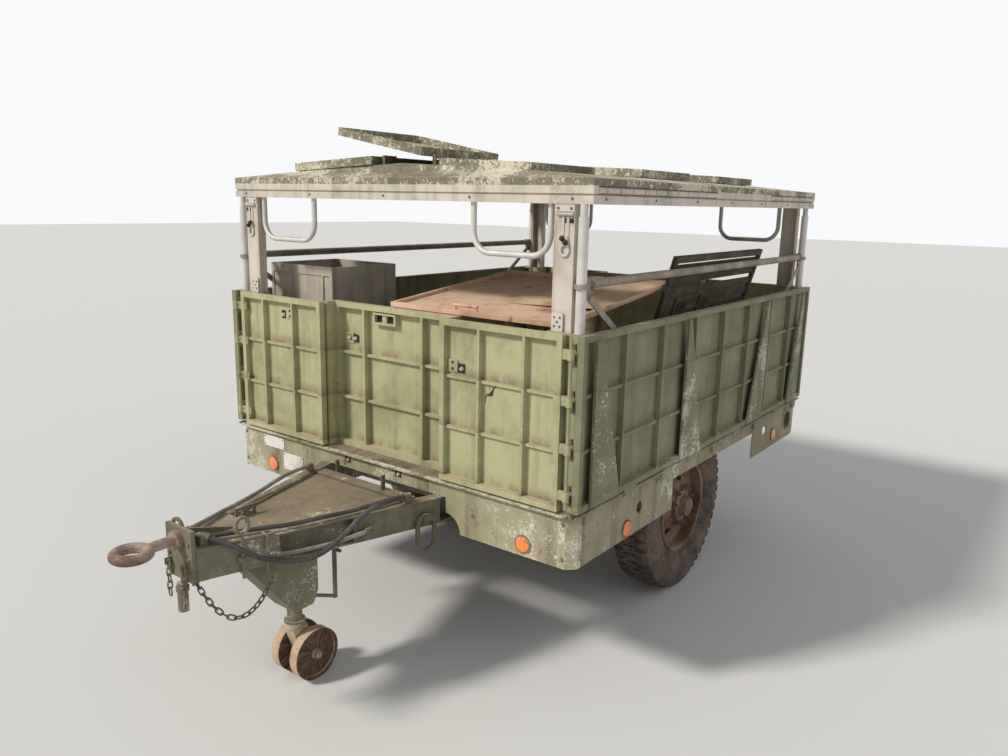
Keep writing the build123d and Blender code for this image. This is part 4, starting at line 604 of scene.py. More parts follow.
WHEEL = RustedSteel("wheel_rust", (0.090, 0.045, 0.030), (0.185, 0.095, 0.058), (0.25, 0.175, 0.12), dusty=0.53)
CASTER = DiscWheel("caster_disc", x=1.306, z=0.127)
FORK = RustedSteel("fork_dust", (0.19, 0.105, 0.062), (0.36, 0.235, 0.145), (0.50, 0.395, 0.255), dusty=0.49)
# near-black steel, dark as the steel and with painted shade for the shadow the grate lies in under the roof; the
# clamps on the posts take it too
GRATE = RustedSteel("grate_steel_and_shade", (0.030, 0.025, 0.021), (0.085, 0.058, 0.040), (0.15, 0.125, 0.09), dusty=0.60)
TYRE = Rubber("tyre_rubber", fresh=(0.030, 0.028, 0.027), dust=(0.215, 0.135, 0.090), dusty=0.53)
HOSE_BLACK = Rubber("hose_black_rubber", fresh=(0.028, 0.027, 0.026), dust=(0.22, 0.18, 0.14), dusty=0.60,
                    rough=0.6, grain=220.0)
HOSE_GREY = Rubber("hose_grey_rubber", fresh=(0.14, 0.135, 0.12), dust=(0.40, 0.36, 0.29), dusty=0.54,
                   rough=0.75, grain=220.0)
FLOOR = Board("floor_board", (0.27, 0.205, 0.145), (0.17, 0.125, 0.085), (0.095, 0.070, 0.048))
LOOSE_SHEET = Board("loose_sheet", (0.62, 0.46, 0.30), (0.52, 0.375, 0.235), (0.36, 0.25, 0.16))
LENS = LensPlastic("amber_lens")
LABEL = Board("label_plate", (0.74, 0.72, 0.66), (0.66, 0.64, 0.58), (0.42, 0.39, 0.31))
# Near black, the painted shade of a hole: the latch holes, the post slots and the tear in a door are drawn in it,
# and the dark latch plates and sill stops take it too.
HOLE = RustedSteel("painted_hole_shade", (0.010, 0.009, 0.008), (0.024, 0.020, 0.016), (0.05, 0.04, 0.03), dusty=0.60)
STUD = RustedSteel("bolt_steel", (0.10, 0.078, 0.058), (0.20, 0.155, 0.11), (0.28, 0.235, 0.175), dusty=0.52,
                   scale=30.0)

# Which finish each CAD node takes
NODE_FINISHES: tuple[tuple[Finish, tuple[str, ...]], ...] = (
    (OLIVE, ("centre_panels", "door_front_left", "door_front_right", "door_rear_left", "door_rear_right")),
    (PLATFORM, ("platform_left", "platform_right")),
    (CORNER, ("corner_posts",)),
    (SKIRT, ("end_skirts",)),
    (SIDE_SKIRT, ("side_skirts",)),
    (LEG, ("leg_bracket", "landing_leg", "drawbar_nose")),
    (FRAME, ("main_rails", "crossmembers", "floor_beams", "drawbar_rings", "drawbar_fittings", "hose_couplings")),
    (TAN, ("roof_rails", "roof_posts", "wheel_wells")),
    (TUBE, ("post_tubes", "lift_rods", "roof_loops")),
    (RAIL, ("guard_rails",)),
    (ROOF, ("roof_skin", "hatch_front_left", "hatch_front_right", "hatch_middle_left", "hatch_middle_right",
            "hatch_rear_left", "hatch_rear_right")),
    (TABLE, ("work_table",)),
    (CABINET, ("cabinet",)),
    (RUST, ("lunette", "axle_beam", "leaf_springs", "hub_left", "hub_right")),
    (CHAIN, ("safety_chains",)),
    (WHEEL, ("wheel_left", "wheel_right")),
    (CASTER, ("caster_wheels",)),
    (FORK, ("caster_fork",)),
    (GRATE, ("slatted_grate",)),
    (TYRE, ("tyre_left", "tyre_right")),
    (HOSE_BLACK, ("hose_black", "hose_grey")),
    (HOSE_GREY, ("hose_pale", "hose_far")),
    (FLOOR, ("floor_deck",)),
    (LOOSE_SHEET, ("leaning_panel",)),
    (LENS, ("reflectors",)),
)


class Paintshop:
    """Makes each finish once and lays it on nodes and pieces."""

    def __init__(self) -> None:
        """Starts with no material made."""
        self.made: dict[str, bpy.types.Material] = {}

    def material(self, finish: Finish) -> bpy.types.Material:
        """The material of a finish, made when it is first asked for."""
        if finish.name not in self.made:
            self.made[finish.name] = finish.make()
        return self.made[finish.name]

    def coat(self, obj: bpy.types.Object, finish: Finish) -> bpy.types.Object:
        """Gives a new piece its finish."""
        obj.data.materials.clear()
        obj.data.materials.append(self.material(finish))
        return obj

    def stamp(self, model: bpy.types.Object, places: Iterable[Matrix], name: str,
              finish: Finish) -> bpy.types.Object:
        """Copies a model to its places, removes it and gives the copies their finish.

        Args:
            model: the piece that repeats, made about the origin.
            places: where each copy goes.
            name: the joined object's name.
            finish: the finish of all copies.

        Returns:
            The joined object, at the origin.
        """
        copies = Bench.copy_to(model, places, name)
        Bench.remove(model)
        return self.coat(copies, finish)

    def coat_nodes(self, nodes: dict[str, bpy.types.Object]) -> None:
        """Gives every CAD node its finish.

        Args:
            nodes: the CAD nodes by name.
        """
        for finish, names in NODE_FINISHES:
            for name in names:
                for place in nodes[name].material_slots:
                    place.material = self.material(finish)
            log.info("%s on %d nodes", finish.name, len(names))


# Making meshes


class Bench:
    """Small helpers round Blender's operators."""

    @staticmethod
    def clear() -> None:
        """Leaves edit mode and deselects everything."""
        if bpy.context.object is not None and bpy.context.object.mode != "OBJECT":
            bpy.ops.object.mode_set(mode="OBJECT")
        bpy.ops.object.select_all(action="DESELECT")

    @staticmethod
    def take(*objects: bpy.types.Object) -> None:
        """Selects these objects alone and makes the first one active."""
        Bench.clear()
        for obj in objects:
            obj.select_set(True)
        bpy.context.view_layer.objects.active = objects[0]

    @staticmethod
    def name(obj: bpy.types.Object, name: str) -> bpy.types.Object:
        """Names an object and its mesh."""
        obj.name = name
        obj.data.name = name
        return obj

    @staticmethod
    def pick(obj: bpy.types.Object, test: Callable[[Vector, Vector], bool], faces: bool = True) -> None:
        """Selects faces or vertices in edit mode.

        Args:
            obj: the object being edited.
            test: says whether to take a face or vertex, from its centre and normal.
            faces: whether faces are picked, or else vertices.
        """
        bpy.ops.mesh.select_mode(type="FACE" if faces else "VERT")
        bpy.ops.mesh.select_all(action="DESELECT")
        shape = bmesh.from_edit_mesh(obj.data)
        for item in (shape.faces if faces else shape.verts):
            if test(item.calc_center_median() if faces else item.co, item.normal):
                item.select_set(True)
        shape.select_flush_mode()
        bmesh.update_edit_mesh(obj.data)

    @staticmethod
    def pick_top(obj: bpy.types.Object) -> None:
        """Selects the faces that look up."""
        Bench.pick(obj, lambda _, normal: normal.z > 0.9)

    @staticmethod
    def cylinder(sides: int, radius: float, low: float, high: float) -> bpy.types.Object:
        """Adds an upright cylinder and leaves its top face picked in edit mode.

        Args:
            sides: how many sides it has.
            radius: its radius.
            low: height of its lower end.
            high: height of its upper end.

        Returns:
            The cylinder.
        """
        Bench.clear()
        bpy.ops.mesh.primitive_cylinder_add(vertices=sides, radius=radius, depth=high - low,
                                            location=(0.0, 0.0, (low + high) / 2.0))
        bpy.ops.object.mode_set(mode="EDIT")
        Bench.pick_top(bpy.context.object)
        return bpy.context.object

    @staticmethod
    def extrude(distance: float) -> None:
        """Extrudes what is picked along Z."""
        bpy.ops.mesh.extrude_region_move(TRANSFORM_OT_translate={"value": (0.0, 0.0, distance)})

    @staticmethod
    def settle(obj: bpy.types.Object) -> bpy.types.Object:
        """Puts the object at the origin, with its place in its mesh."""
        Bench.take(obj)
        bpy.ops.object.transform_apply(location=True, rotation=True, scale=True)
        return obj

    @staticmethod
    def smooth(obj: bpy.types.Object, angle: float) -> bpy.types.Object:
        """Shades faces smoothly where they meet at less than an angle in degrees."""
        Bench.take(obj)
        bpy.ops.object.shade_smooth_by_angle(angle=radians(angle))
        return obj

    @staticmethod
    def copy_to(model: bpy.types.Object, places: Iterable[Matrix], name: str) -> bpy.types.Object:
        """Copies a model to many places and joins the copies.

        Args:
            model: the piece that repeats, made about the origin.
            places: where each copy goes.
            name: the joined object's name.

        Returns:
            The joined object, at the origin.
        """
        copies = []
        for place in places:
            copy = model.copy()
            copy.data = model.data.copy()
            copy.data.transform(place)
            bpy.context.scene.collection.objects.link(copy)
            copies.append(copy)
        return Bench.join(copies, name)

    @staticmethod
    def join(pieces: Sequence[bpy.types.Object], name: str) -> bpy.types.Object:
        """Joins pieces into one object, each with its own finish."""
        Bench.take(*pieces)
        if len(pieces) > 1:
            bpy.ops.object.join()
        return Bench.name(pieces[0], name)

    @staticmethod
    def remove(obj: bpy.types.Object) -> None:
        """Deletes a model that was only there to be copied."""
        bpy.data.meshes.remove(obj.data)


def loose_parts(node: bpy.types.Object) -> list[np.ndarray]:
    """The corners of each separate solid of a node.

    Args:
        node: the CAD node.

    Returns:
        One array of points for each solid.
    """
    shape = bmesh.new()
    shape.from_mesh(node.data)
    bmesh.ops.remove_doubles(shape, verts=shape.verts, dist=1e-5)
    shape.verts.ensure_lookup_table()
    left = dict.fromkeys(shape.verts)
    parts = []
    while left:
        group, front = [], [left.popitem()[0]]
        while front:
            vertex = front.pop()
            group.append(vertex.co[:])
            for edge in vertex.link_edges:
                other = edge.other_vert(vertex)
                if other in left:
                    del left[other]
                    front.append(other)
        parts.append(np.array(group))
    shape.free()
    return parts


def turned_to(axis: Point, place: Point) -> Matrix:
    """The place of a piece made along +Z that is to stand along another axis.

    Args:
        axis: the direction that its +Z takes.
        place: where its origin goes.

    Returns:
        The matrix that puts it there.
    """
    turn = Vector((0.0, 0.0, 1.0)).rotation_difference(Vector(axis))
    return Matrix.Translation(Vector(place)) @ turn.to_matrix().to_4x4()


# Wheels


@dataclass
class Tyre:
    """A tall tyre with square shoulders and separate tread blocks, in place of the plain one."""

    side: str
    facets: int = 150             # faces round the tread, three to each block and its gap
    rings: int = 20               # faces round the section
    block: float = 0.011          # height of a tread block
    section: float = 0.122        # radius of the section before it is squared
    tread: float = 0.095          # half width of the tread
    middle_row: float = 0.039     # half width of its middle row of blocks
    edge: float = 0.0025          # bevel of the blocks
    sunk: float = 0.0005          # how far the grooves lie below the blocks' feet
    wall: float = 0.012           # depth of the shoulder, below which the side wall starts
    slack: tuple[float, float] = (0.002, 0.003)   # how near a ring its vertices lie, outwards and across

    def build(self, shop: Paintshop) -> bpy.types.Object:
        """Shapes the tyre from a ring.

        Args:
            shop: gives the finish.

        Returns:
            The tyre.
        """
        low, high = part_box(f"tyre_{self.side}")
        centre = (Vector(low) + Vector(high)) / 2.0
        radius = (high[2] - low[2]) / 2.0
        Bench.clear()
        bpy.ops.mesh.primitive_torus_add(
            location=centre, rotation=(pi / 2.0, 0.0, 0.0), major_segments=self.facets,
            minor_segments=self.rings, major_radius=radius - self.section, minor_radius=self.section)
        tyre = Bench.settle(Bench.name(bpy.context.object, f"road_tyre_{self.side}"))
        self.shape_section(tyre, centre, radius)
        self.raise_blocks(tyre, centre, radius)
        bevel = tyre.modifiers.new("edges", "BEVEL")
        bevel.width = self.edge
        bevel.segments = 1
        bevel.limit_method = "ANGLE"
        bevel.angle_limit = radians(50.0)
        Bench.take(tyre)
        bpy.ops.object.modifier_apply(modifier=bevel.name)
        Bench.smooth(tyre, 40.0)
        shop.coat(tyre, TYRE)
        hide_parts(f"tyre_{self.side}")
        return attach(tyre, f"wheel_{self.side}")

    def shape_section(self, tyre: bpy.types.Object, centre: Vector, radius: float) -> None:
        """Squares the shoulders and spreads the beads.

        Args:
            tyre: the ring.
            centre: the wheel's centre.
            radius: the tyre's outer radius.
        """
        base = radius - self.block - self.sunk
        middle = radius - self.section
        # ring number from the crown, its new radius, its new half width; None leaves it
        targets = ((0, base, None), (1, base, None), (2, base - 0.001, 0.079), (3, base - 0.013, 0.107),
                   (4, None, 0.119), (8, None, 0.092), (9, None, 0.084))
        bpy.ops.object.mode_set(mode="EDIT")
        for ring, new_radius, new_half in targets:
            turn = 2.0 * pi * ring / self.rings
            old_radius = middle + self.section * cos(turn)
            old_half = self.section * sin(turn)

            def on_ring(point: Vector, _: Vector) -> bool:
                """Whether a vertex lies on this ring or its mirror image.

                Args:
                    point: the vertex.

                Returns:
                    True on either ring.
                """
                away = point - centre
                if abs(Vector((away.x, away.z)).length - old_radius) > self.slack[0]:
                    return False
                return abs(abs(away.y) - old_half) < self.slack[1]

            Bench.pick(tyre, on_ring, faces=False)
            around = 1.0 if new_radius is None else new_radius / old_radius
            across = 1.0 if new_half is None or old_half == 0.0 else new_half / old_half
            bpy.ops.transform.resize(value=(around, across, around), center_override=centre)
        bpy.ops.object.mode_set(mode="OBJECT")

    def raise_blocks(self, tyre: bpy.types.Object, centre: Vector, radius: float) -> None:
        """Extrudes the tread blocks, staggered from side to side.

        Args:
            tyre: the shaped ring.
            centre: the wheel's centre.
            radius: the tyre's outer radius.
        """
        base = radius - self.block
        bpy.ops.object.mode_set(mode="EDIT")

        def on_tread(point: Vector, normal: Vector) -> bool:
            """Whether a face belongs to a block.

            Args:
                point: its centre.
                normal: the way it looks, which plays no part.

            Returns:
                True for a block, False for a gap or the side wall.
            """
            away = point - centre
            spoke = Vector((away.x, 0.0, away.z))
            if spoke.length < base - self.wall or abs(away.y) > self.tread:
                return False
            step = int((np.arctan2(away.z, away.x) / (2.0 * pi) + 1.0) * self.facets)
            row = 0 if abs(away.y) < self.middle_row else (1 if away.y > 0.0 else 2)
            return (step + row) % 3 != 0

        Bench.pick(tyre, on_tread)
        bpy.ops.mesh.extrude_region_shrink_fatten(TRANSFORM_OT_shrink_fatten={"value": self.block})
        bpy.ops.object.mode_set(mode="OBJECT")


@dataclass
class WheelNuts:
    """The ring of nuts that holds a wheel to its hub."""

    side: str
    count: int = 10
    circle: float = 0.114         # radius of the ring of nuts
    inset: float = 0.0215         # outer face of the rim to the seat of the nuts
    nut: tuple[float, ...] = (0.016, 0.020, 0.014)   # radius, height and stud

    def build(self, shop: Paintshop) -> bpy.types.Object:
        """Sets the nuts round the hub.

        Args:
            shop: gives the finish.

        Returns:
            The joined nuts.
        """
        low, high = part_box(f"wheel_{self.side}")
        way = 1.0 if self.side == "left" else -1.0
        face = (high[1] if way > 0 else low[1]) - way * self.inset
        centre = Vector(((low[0] + high[0]) / 2.0, face, (low[2] + high[2]) / 2.0))
        places = []
        for i in range(self.count):
            turn = 2.0 * pi * (i + 0.5) / self.count
            spot = centre + Vector((self.circle * cos(turn), 0.0, self.circle * sin(turn)))
            places.append(turned_to((0.0, way, 0.0), spot))
        nuts = shop.stamp(Fastener(*self.nut).model(), places, f"wheel_nuts_{self.side}", WHEEL)
        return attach(nuts, f"wheel_{self.side}")


# Fastenings


@dataclass
class Fastener:
    """A hexagon head on a washer, with a stud end where the size is given."""

    radius: float
    height: float
    stud: float = 0.0
    sides: int = 6
    # shares of the head's radius
    washer: float = 1.35          # radius of the washer
    washer_edge: float = 0.08     # width of its bevel
    edge: float = 0.16            # width of the head's bevel
    edge_tall: float = 0.10
    shoulder: float = 0.22        # from there to the stud
    # shares of the whole height
    washer_tall: float = 0.16
    washer_edge_tall: float = 0.06
    foot: float = 0.20            # where the head starts

    def model(self) -> bpy.types.Object:
        """Makes one fastener about the origin, standing on the XY plane.

        Returns:
            The fastener, to be copied and removed.
        """
        washer = Bench.cylinder(16, self.radius * self.washer, 0.0, self.height * self.washer_tall)
        bpy.ops.mesh.inset(thickness=self.radius * self.washer_edge, depth=self.height * self.washer_edge_tall)
        head = Bench.cylinder(self.sides, self.radius, self.height * self.foot, self.height)
        bpy.ops.mesh.inset(thickness=self.radius * self.edge, depth=self.radius * self.edge_tall)
        if self.stud > 0.0:
            bpy.ops.mesh.inset(thickness=self.radius * self.shoulder)
            Bench.extrude(self.stud)
        return Bench.settle(Bench.join([head, washer], "fastener"))


@dataclass
class Row:
    """Fasteners in a straight row."""

    start: Point
    end: Point
    count: int
    normal: Point

    def places(self) -> list[Matrix]:
        """Finds where each fastener of the row stands.

        Returns:
            One matrix for each fastener.
        """
        first, last = Vector(self.start), Vector(self.end)
        steps = max(self.count - 1, 1)
        return [turned_to(self.normal, first.lerp(last, i / steps)) for i in range(self.count)]


@dataclass
class Fastenings:
    """Bolts or rivets on one body, in rows."""

    name: str
    body: str
    slot: Slot
    size: float
    rows: list[Row]
    sides: int = 6
    tall: float = 0.8             # height of a head, as a share of its size

    def build(self, shop: Paintshop, finish: Finish) -> bpy.types.Object:
        """Copies one fastener along every row.

        Args:
            shop: gives the material.
            finish: the fasteners' finish.

        Returns:
            The joined fasteners.
        """
        model = Fastener(self.size, self.size * self.tall, sides=self.sides).model()
        places = [place for row in self.rows for place in row.places()]
        joined = shop.stamp(model, places, self.name, finish)
        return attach(joined, self.body)


# Chains, hoses and lenses


@dataclass
class ChainLinks:
    """Round-bar links in place of the plain ones, each lying as its CAD link does."""

    bar: float = 0.0035           # radius of the bar
    length: float = 0.045
    width: float = 0.027

    def link(self) -> bpy.types.Object:
        """Makes one link about the origin, long along X and flat in XY.

        Returns:
            The link, to be copied and removed.
        """
        Bench.clear()
        bpy.ops.mesh.primitive_torus_add(major_segments=16, minor_segments=8, minor_radius=self.bar,
                                         major_radius=self.width / 2.0 - self.bar)
        link = bpy.context.object
        reach = (self.length - self.width) / 2.0
        bpy.ops.object.mode_set(mode="EDIT")
        for way in (-1.0, 1.0):
            Bench.pick(link, lambda point, _, w=way: w * point.x > 1e-5, faces=False)
            bpy.ops.transform.translate(value=(way * reach, 0.0, 0.0))
        bpy.ops.object.mode_set(mode="OBJECT")
        return link

    def places(self, node: bpy.types.Object) -> list[Matrix]:
        """Finds how each CAD link lies, from its own corners.

        Args:
            node: the CAD node that holds the links.

        Returns:
            One matrix for each link.
        """
        found = []
        for points in loose_parts(node):
            middle = points.mean(axis=0)
            _, axes = np.linalg.eigh(np.cov((points - middle).T))
            along, across = Vector(axes[:, 2]), Vector(axes[:, 1])
            turn = Matrix((along, across, along.cross(across))).transposed().to_4x4()
            found.append(Matrix.Translation(Vector(middle)) @ turn)
        return found

    def build(self, shop: Paintshop, node: bpy.types.Object) -> bpy.types.Object:
        """Lays a round-bar link on every CAD link.

        Args:
            shop: gives the finish.
            node: the CAD node that holds the links.

        Returns:
            The joined links.
        """
        chains = shop.stamp(self.link(), self.places(node), "round_bar_chains", CHAIN)
        Bench.smooth(chains, 60.0)
        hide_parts("safety_chains")
        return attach(chains, "trailer")


@dataclass
class Hose:
    """A rubber hose of the drawbar, on the same route as its CAD tube."""

    name: str
    radius: float
    length: float
    route: tuple[Point, ...]
    finish: Rubber

    def build(self, shop: Paintshop) -> bpy.types.Object:
        """Lays the hose as a smooth curve.

        Args:
            shop: gives the finish.

        Returns:
            The hose.
        """
        curve = bpy.data.curves.new(f"rubber_{self.name}", "CURVE")
        curve.dimensions = "3D"
        curve.bevel_depth = self.radius
        curve.bevel_resolution = 5
        curve.resolution_u = 10
        curve.use_fill_caps = True
        spline = curve.splines.new("NURBS")
        spline.points.add(len(self.route) - 1)
        for point, (x, y, z) in zip(spline.points, self.route):
            point.co = (x, y, z, 1.0)
        spline.order_u = 3
        spline.use_endpoint_u = True
        hose = bpy.data.objects.new(f"rubber_{self.name}", curve)
        bpy.context.scene.collection.objects.link(hose)
        shop.coat(hose, self.finish)
        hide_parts(self.name)
        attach(hose, "trailer")
        2.0 * self.radius
        return hose


BODY_FRONT = 0.806                # front face of the body from the frame's origin
SKIRT_FACE = 0.020                # from there back to the face of an end skirt
DOOR_SHEET = 0.030                # to the sheet of a corner door
CENTRE_SHEET = 0.130              # to the sheet of a centre panel


def from_front(*points: Point) -> tuple[Point, ...]:
    """Moves points whose X is measured from the front face of the body into the frame.

    Args:
        points: the points.

    Returns:
        The same points in the frame.
    """
    return tuple((BODY_FRONT + x, y, z) for x, y, z in points)


def body_face(end: int, depth: float) -> float:
    """Finds a plane behind the body's front face, or its twin at the rear.

    Args:
        end: 1 at the front, -1 at the rear.
        depth: how far the plane lies behind the outer face.

    Returns:
        The plane's X.
    """
    low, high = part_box("end_skirts")
    x = BODY_FRONT - depth
    return x if end > 0 else low[0] + high[0] - x


HOSES = (
    Hose("hose_black", 0.012, 1.012, from_front(
        (0.170, 0.352, 0.893), (0.285, 0.350, 0.903), (0.410, 0.346, 0.893), (0.510, 0.326, 0.815),
        (0.640, 0.292, 0.735), (0.770, 0.245, 0.745), (0.900, 0.205, 0.800), (0.985, 0.160, 0.875),
        (1.035, 0.088, 0.900)), HOSE_BLACK),
    Hose("hose_grey", 0.010, 0.905, from_front(
        (0.170, 0.320, 0.885), (0.290, 0.300, 0.884), (0.420, 0.272, 0.879), (0.560, 0.238, 0.884),
        (0.690, 0.196, 0.880), (0.820, 0.146, 0.889), (0.930, 0.100, 0.893), (1.030, 0.052, 0.893)), HOSE_BLACK),
    Hose("hose_pale", 0.010, 0.400, from_front(
        (0.400, 0.330, 0.785), (0.500, 0.306, 0.775), (0.600, 0.273, 0.769), (0.700, 0.236, 0.768),
        (0.780, 0.210, 0.774)), HOSE_GREY),
    Hose("hose_far", 0.010, 0.907, from_front(
        (0.170, -0.350, 0.890), (0.280, -0.322, 0.902), (0.400, -0.286, 0.900), (0.530, -0.246, 0.886),
        (0.670, -0.203, 0.881), (0.800, -0.160, 0.884), (0.920, -0.115, 0.886), (1.030, -0.068, 0.894)),
        HOSE_GREY),
)


@dataclass
class Reflectors:
    """Moulded lenses in metal rims in place of the plain discs."""

    rim: float = 0.042            # radius of the rim
    thick: float = 0.008
    border: float = 0.0035        # width of the metal round the lens
    # inset and rise of each ring, from the rim to the middle of the lens
    rings: tuple[tuple[float, float], ...] = (
        (0.004, 0.0), (0.001, -0.002), (0.002, 0.0035), (0.008, 0.0012), (0.009, 0.0008), (0.009, 0.0003))

    def model(self, shop: Paintshop) -> bpy.types.Object:
        """Makes one lens with its rim about the origin, its back on the XY plane.

        Args:
            shop: gives the finishes.

        Returns:
            The lens, to be copied and removed.
        """
        lens = Bench.cylinder(40, self.rim, 0.0, self.thick)
        for thickness, depth in self.rings:
            bpy.ops.mesh.inset(thickness=thickness, depth=depth)
        Bench.smooth(Bench.settle(lens), 30.0)
        for finish in (STUD, LENS):
            lens.data.materials.append(shop.material(finish))
        for face in lens.data.polygons:
            reach = max(Vector(lens.data.vertices[i].co[:2]).length for i in face.vertices)
            is_lens = reach < self.rim - self.border and face.center.z > self.thick * 0.6
            face.material_index = 1 if is_lens else 0
        return lens

    def build(self, shop: Paintshop, node: bpy.types.Object) -> bpy.types.Object:
        """Sets a lens over each CAD disc.

        Args:
            shop: gives the finishes.
            node: the CAD node that holds the discs.

        Returns:
            The joined lenses.
        """
        model = self.model(shop)
        places = []
        low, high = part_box("reflectors")
        middle = (Vector(low) + Vector(high)) / 2.0
        for points in loose_parts(node):
            centre = Vector((points.max(axis=0) + points.min(axis=0)) / 2.0)
            size = points.max(axis=0) - points.min(axis=0)
            axis = int(size.argmin())
            way = Vector((0.0, 0.0, 0.0))
            way[axis] = 1.0 if centre[axis] > middle[axis] else -1.0
            places.append(turned_to(way, centre - way * float(size[axis]) / 2.0))
        lenses = Bench.copy_to(model, places, "amber_reflectors")
        Bench.remove(model)
        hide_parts("reflectors")
        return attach(lenses, "trailer")


# Rows of bolts and rivets


@dataclass
class RoofFastenings:
    """Rivets round the roof rails."""

    lift: float = 0.021           # lower edge of a rail to the row on its face
    inset: float = 0.10           # end of a rail to its first rivet
    size: float = 0.0050
    across: int = 5               # rivets on a short rail
    lengthwise: int = 7           # rivets on a long rail

    def rows(self) -> list[Row]:
        """Lays out the rows along the four roof rails.

        Returns:
            The rows.
        """
        low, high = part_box("roof_skin")
        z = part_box("roof_rails")[0][2] + self.lift
        rows = []
        for x, way in ((high[0], 1.0), (low[0], -1.0)):
            ends = ((x, low[1] + self.inset, z), (x, high[1] - self.inset, z))
            rows.append(Row(*ends, self.across, (way, 0.0, 0.0)))
        for y, way in ((high[1], 1.0), (low[1], -1.0)):
            ends = ((low[0] + self.inset, y, z), (high[0] - self.inset, y, z))
            rows.append(Row(*ends, self.lengthwise, (0.0, way, 0.0)))
        return rows

    def build(self, shop: Paintshop) -> bpy.types.Object:
        """Makes the rivets of the roof frame.

        Args:
            shop: gives the finish.

        Returns:
            The joined rivets.
        """
        rivets = Fastenings("roof_rail_rivets", "roof", Slot.TAN, self.size, self.rows(), sides=10)
        return rivets.build(shop, STUD)


@dataclass
class CasterNuts:
    """The nut on each end of the caster's axle."""

    hub: float = 0.100            # centre plane to the face of a hub
    nut: tuple[float, ...] = (0.014, 0.011, 0.004)   # radius, height and stud

    def build(self, shop: Paintshop) -> bpy.types.Object:
        """Sets both nuts on their hubs.

        Args:
            shop: gives the finish.

        Returns:
            The joined nuts.
        """
        places = [turned_to((0.0, way, 0.0), (CASTER.x, way * self.hub, CASTER.z)) for way in (-1.0, 1.0)]
        nuts = shop.stamp(Fastener(*self.nut).model(), places, "caster_nuts", FORK)
        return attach(nuts, "caster_wheels")


@dataclass
class DoorFastenings:
    """Bolts through the hinge straps of a corner door."""

    name: str
    end: int                      # 1 at the front, -1 at the rear
    side: int                     # 1 on the left, -1 on the right
    heights: tuple[float, ...] = (1.035, 1.245, 1.455, 1.655)   # middles of the straps
    strap: float = 1.125          # centre plane to the bolts
    face: float = 0.003           # outer face of the door to the face of a strap
    apart: float = 0.012          # middle of a strap to each of its two bolts
    size: float = 0.006

    def build(self, shop: Paintshop) -> bpy.types.Object:
        """Makes the bolts of one door.

        Args:
            shop: gives the finish.

        Returns:
            The joined bolts.
        """
        x, y = body_face(self.end, self.face), self.side * self.strap
        rows = [Row((x, y, z - self.apart), (x, y, z + self.apart), 2, (self.end, 0.0, 0.0)) for z in self.heights]
        return Fastenings(f"{self.name}_bolts", self.name, Slot.BODY, self.size, rows).build(shop, OLIVE)


@dataclass
class ChassisFastenings:
    """Bolts of the drawbar's nose and the skirts."""

    size: float = 0.008
    nose: float = 0.070           # centre plane to the bolts of the nose plate
    nose_heights: tuple[float, float] = (0.035, 0.165)   # lower edge of the plate to its end bolts
    skirt_end: float = 1.125      # centre plane to the bolts of an end skirt
    skirt_heights: tuple[float, ...] = (0.735, 0.900)
    side: float = 1.18            # centre plane to the outer face of a side skirt
    side_height: float = 0.900
    side_end: float = 0.10        # end of a side skirt to its first bolt

    def rows(self) -> list[Row]:
        """Lays out the rows on the nose plate and the four skirts.

        Returns:
            The rows.
        """
        low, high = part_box("drawbar_nose")
        bottom, top = (low[2] + height for height in self.nose_heights)
        rows = [Row((high[0], y, bottom), (high[0], y, top), 3, (1.0, 0.0, 0.0)) for y in (-self.nose, self.nose)]
        for end in (1, -1):
            x = body_face(end, SKIRT_FACE)
            rows += [Row((x, -self.skirt_end, z), (x, self.skirt_end, z), 2, (end, 0.0, 0.0))
                     for z in self.skirt_heights]
        low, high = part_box("side_skirts")
        rear, front = low[0] + self.side_end, high[0] - self.side_end
        for way in (-1.0, 1.0):
            y, z = way * self.side, self.side_height
            rows.append(Row((rear, y, z), (front, y, z), 5, (0.0, way, 0.0)))
        return rows

    def build(self, shop: Paintshop) -> bpy.types.Object:
        """Makes the bolts that stay with the trailer.

        Args:
            shop: gives the finish.

        Returns:
            The joined bolts.
        """
        return Fastenings("chassis_bolts", "trailer", Slot.FRAME, self.size, self.rows()).build(shop, FRAME)


@dataclass
class RoundedPlate:
    """A thin plate with rounded corners and a shallow rim."""

    wide: float
    tall: float
    thick: float
    corner: float = 0.004
    margin: float = 0.6           # edge to the rim, as a share of the corner
    rim: float = 0.3              # width of the rim, as the same share
    sunk: float = 0.3             # depth inside the rim, as a share of the thickness

    def model(self) -> bpy.types.Object:
        """Makes the plate on the XY plane about the origin, wide along Y and tall along X.

        Returns:
            The plate, to be copied and removed.
        """
        Bench.clear()
        bpy.ops.mesh.primitive_cube_add(size=1.0, location=(0.0, 0.0, self.thick / 2.0),
                                        scale=(self.tall, self.wide, self.thick))
        plate = Bench.settle(bpy.context.object)
        bpy.ops.object.mode_set(mode="EDIT")
        bpy.ops.mesh.select_all(action="DESELECT")
        bpy.ops.mesh.select_mode(type="EDGE")
        shape = bmesh.from_edit_mesh(plate.data)
        for edge in shape.edges:
            edge.select_set(abs(edge.verts[0].co.z - edge.verts[1].co.z) > self.thick / 2.0)
        bmesh.update_edit_mesh(plate.data)
        bpy.ops.mesh.bevel(offset=self.corner, segments=3)
        Bench.pick_top(plate)
        bpy.ops.mesh.inset(thickness=self.corner * self.margin)
        bpy.ops.mesh.inset(thickness=self.corner * self.rim, depth=-self.thick * self.sunk)
        bpy.ops.object.mode_set(mode="OBJECT")
        return plate


